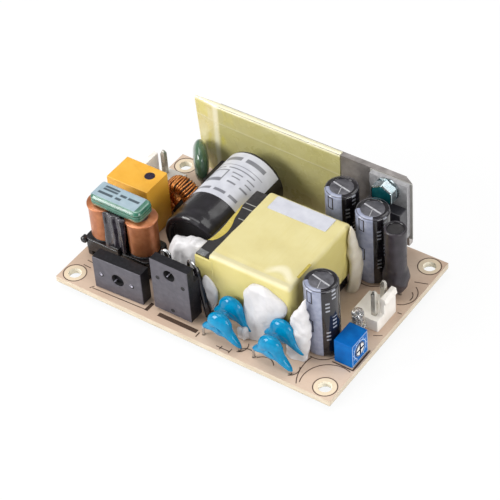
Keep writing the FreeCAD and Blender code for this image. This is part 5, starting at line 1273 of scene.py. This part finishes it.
def ground():
    """A pale floor.  Seen by the camera, in a mirror or through the lens it is nine tenths even white."""
    size, low = 900 * MM, CAD_BOX[0][2] - 0.05 * MM
    mesh = bpy.data.meshes.new("floor")
    mesh.from_pydata([(x * size, y * size, low) for x, y in ((-1, -1), (1, -1), (1, 1), (-1, 1))], [],
                     [(0, 1, 2, 3)])
    floor = placed("floor", mesh)
    look = Look("floor", Base_Color=(0.88, 0.88, 0.88, 1), Roughness=0.8, Specular_IOR_Level=0.1)
    seen = look.add("ShaderNodeLightPath").outputs
    shown = look.most(look.most(seen["Is Camera Ray"], seen["Is Glossy Ray"]), seen["Is Transmission Ray"])
    glow = look.add("ShaderNodeEmission")
    glow.inputs["Strength"].default_value = 1.0
    blend = look.add("ShaderNodeMixShader")
    mixed = look.times(shown, 0.9), look.shader.outputs[0], glow.outputs[0]
    for socket, value in zip(blend.inputs, mixed):
        look.feed(socket, value)
    look.feed(look.tree.nodes["Material Output"].inputs[0], blend.outputs[0])
    mesh.materials.append(look.material)


def surround():
    """Even white light from all round, weak on the board and full where the camera sees it."""
    world = bpy.data.worlds.new("studio")
    bpy.context.scene.world = world
    world.use_nodes = True
    tree = world.node_tree
    path = tree.nodes.new("ShaderNodeLightPath")
    level = tree.nodes.new("ShaderNodeMapRange")
    tree.links.new(path.outputs["Is Camera Ray"], level.inputs[0])
    lit, shown_level = 0.37, 1.0
    level.inputs[3].default_value = lit
    level.inputs[4].default_value = shown_level
    tree.links.new(level.outputs[0], tree.nodes["Background"].inputs["Strength"])
    tree.nodes["Background"].inputs["Color"].default_value = (1, 1, 1, 1)


def lighting():
    """Four square lamps aimed at the origin, placed and sized in metres, their power in watts."""
    lamps = (("key", (-0.42, -0.44, 0.27), 0.3, 3.9), ("top", (-0.2, -0.05, 0.62), 0.4, 1.8),
             ("fill", (0.6, -0.15, 0.25), 0.35, 2.4), ("rear", (0.17, 0.42, 0.57), 0.3, 0.8))
    for name, place, wide, power in lamps:
        light = bpy.data.lights.new(name, "AREA")
        light.size = wide
        light.energy = power
        lamp = placed(name, light)
        lamp.location = place
        aim = -np.array(place)
        yaw = math.atan2(aim[1], aim[0])
        lamp.rotation_euler = (math.acos(-aim[2] / np.linalg.norm(aim)), 0, yaw - math.pi / 2)


def viewpoint():
    """The camera of the photograph, as fitted to the board's corners and mounting holes."""
    scene = bpy.context.scene
    azimuth, elevation, roll = (math.radians(v) for v in (37.671, 43.169, -4.647))
    target, distance = np.array([-4.033, 5.35, TOP]), 483.13
    focal, frame_width = 2052.8, 500  # pixels
    back = np.array([math.sin(azimuth) * math.cos(elevation), -math.cos(azimuth) * math.cos(elevation),
                     math.sin(elevation)])
    right = np.array([math.cos(azimuth), math.sin(azimuth), 0])
    up = np.cross(back, right)
    c, s = math.cos(roll), math.sin(roll)
    right, up = c * right + s * up, -s * right + c * up
    camera = placed("camera", bpy.data.cameras.new("camera"))
    camera.data.sensor_width = 36
    camera.data.lens = 36 * focal / frame_width
    camera.data.clip_start, camera.data.clip_end = 0.01, 10
    at = (target + back * distance) * MM
    camera.matrix_world = Matrix(np.vstack([np.stack([right, up, back, at], 1), [0, 0, 0, 1]]).tolist())
    scene.camera = camera
    scene.view_settings.view_transform = "Standard"


for build in (ground, surround, lighting, viewpoint, board, bridge_and_transistor, clamp_diodes,
              line_choke, x_capacitor, toroid, thermistor, headers, bulk_capacitor, transformer,
              plate_and_film, rectifier, output_capacitors, rod_choke, indicator, trimmer,
              disc_capacitors, silicone, small_parts):
    build()
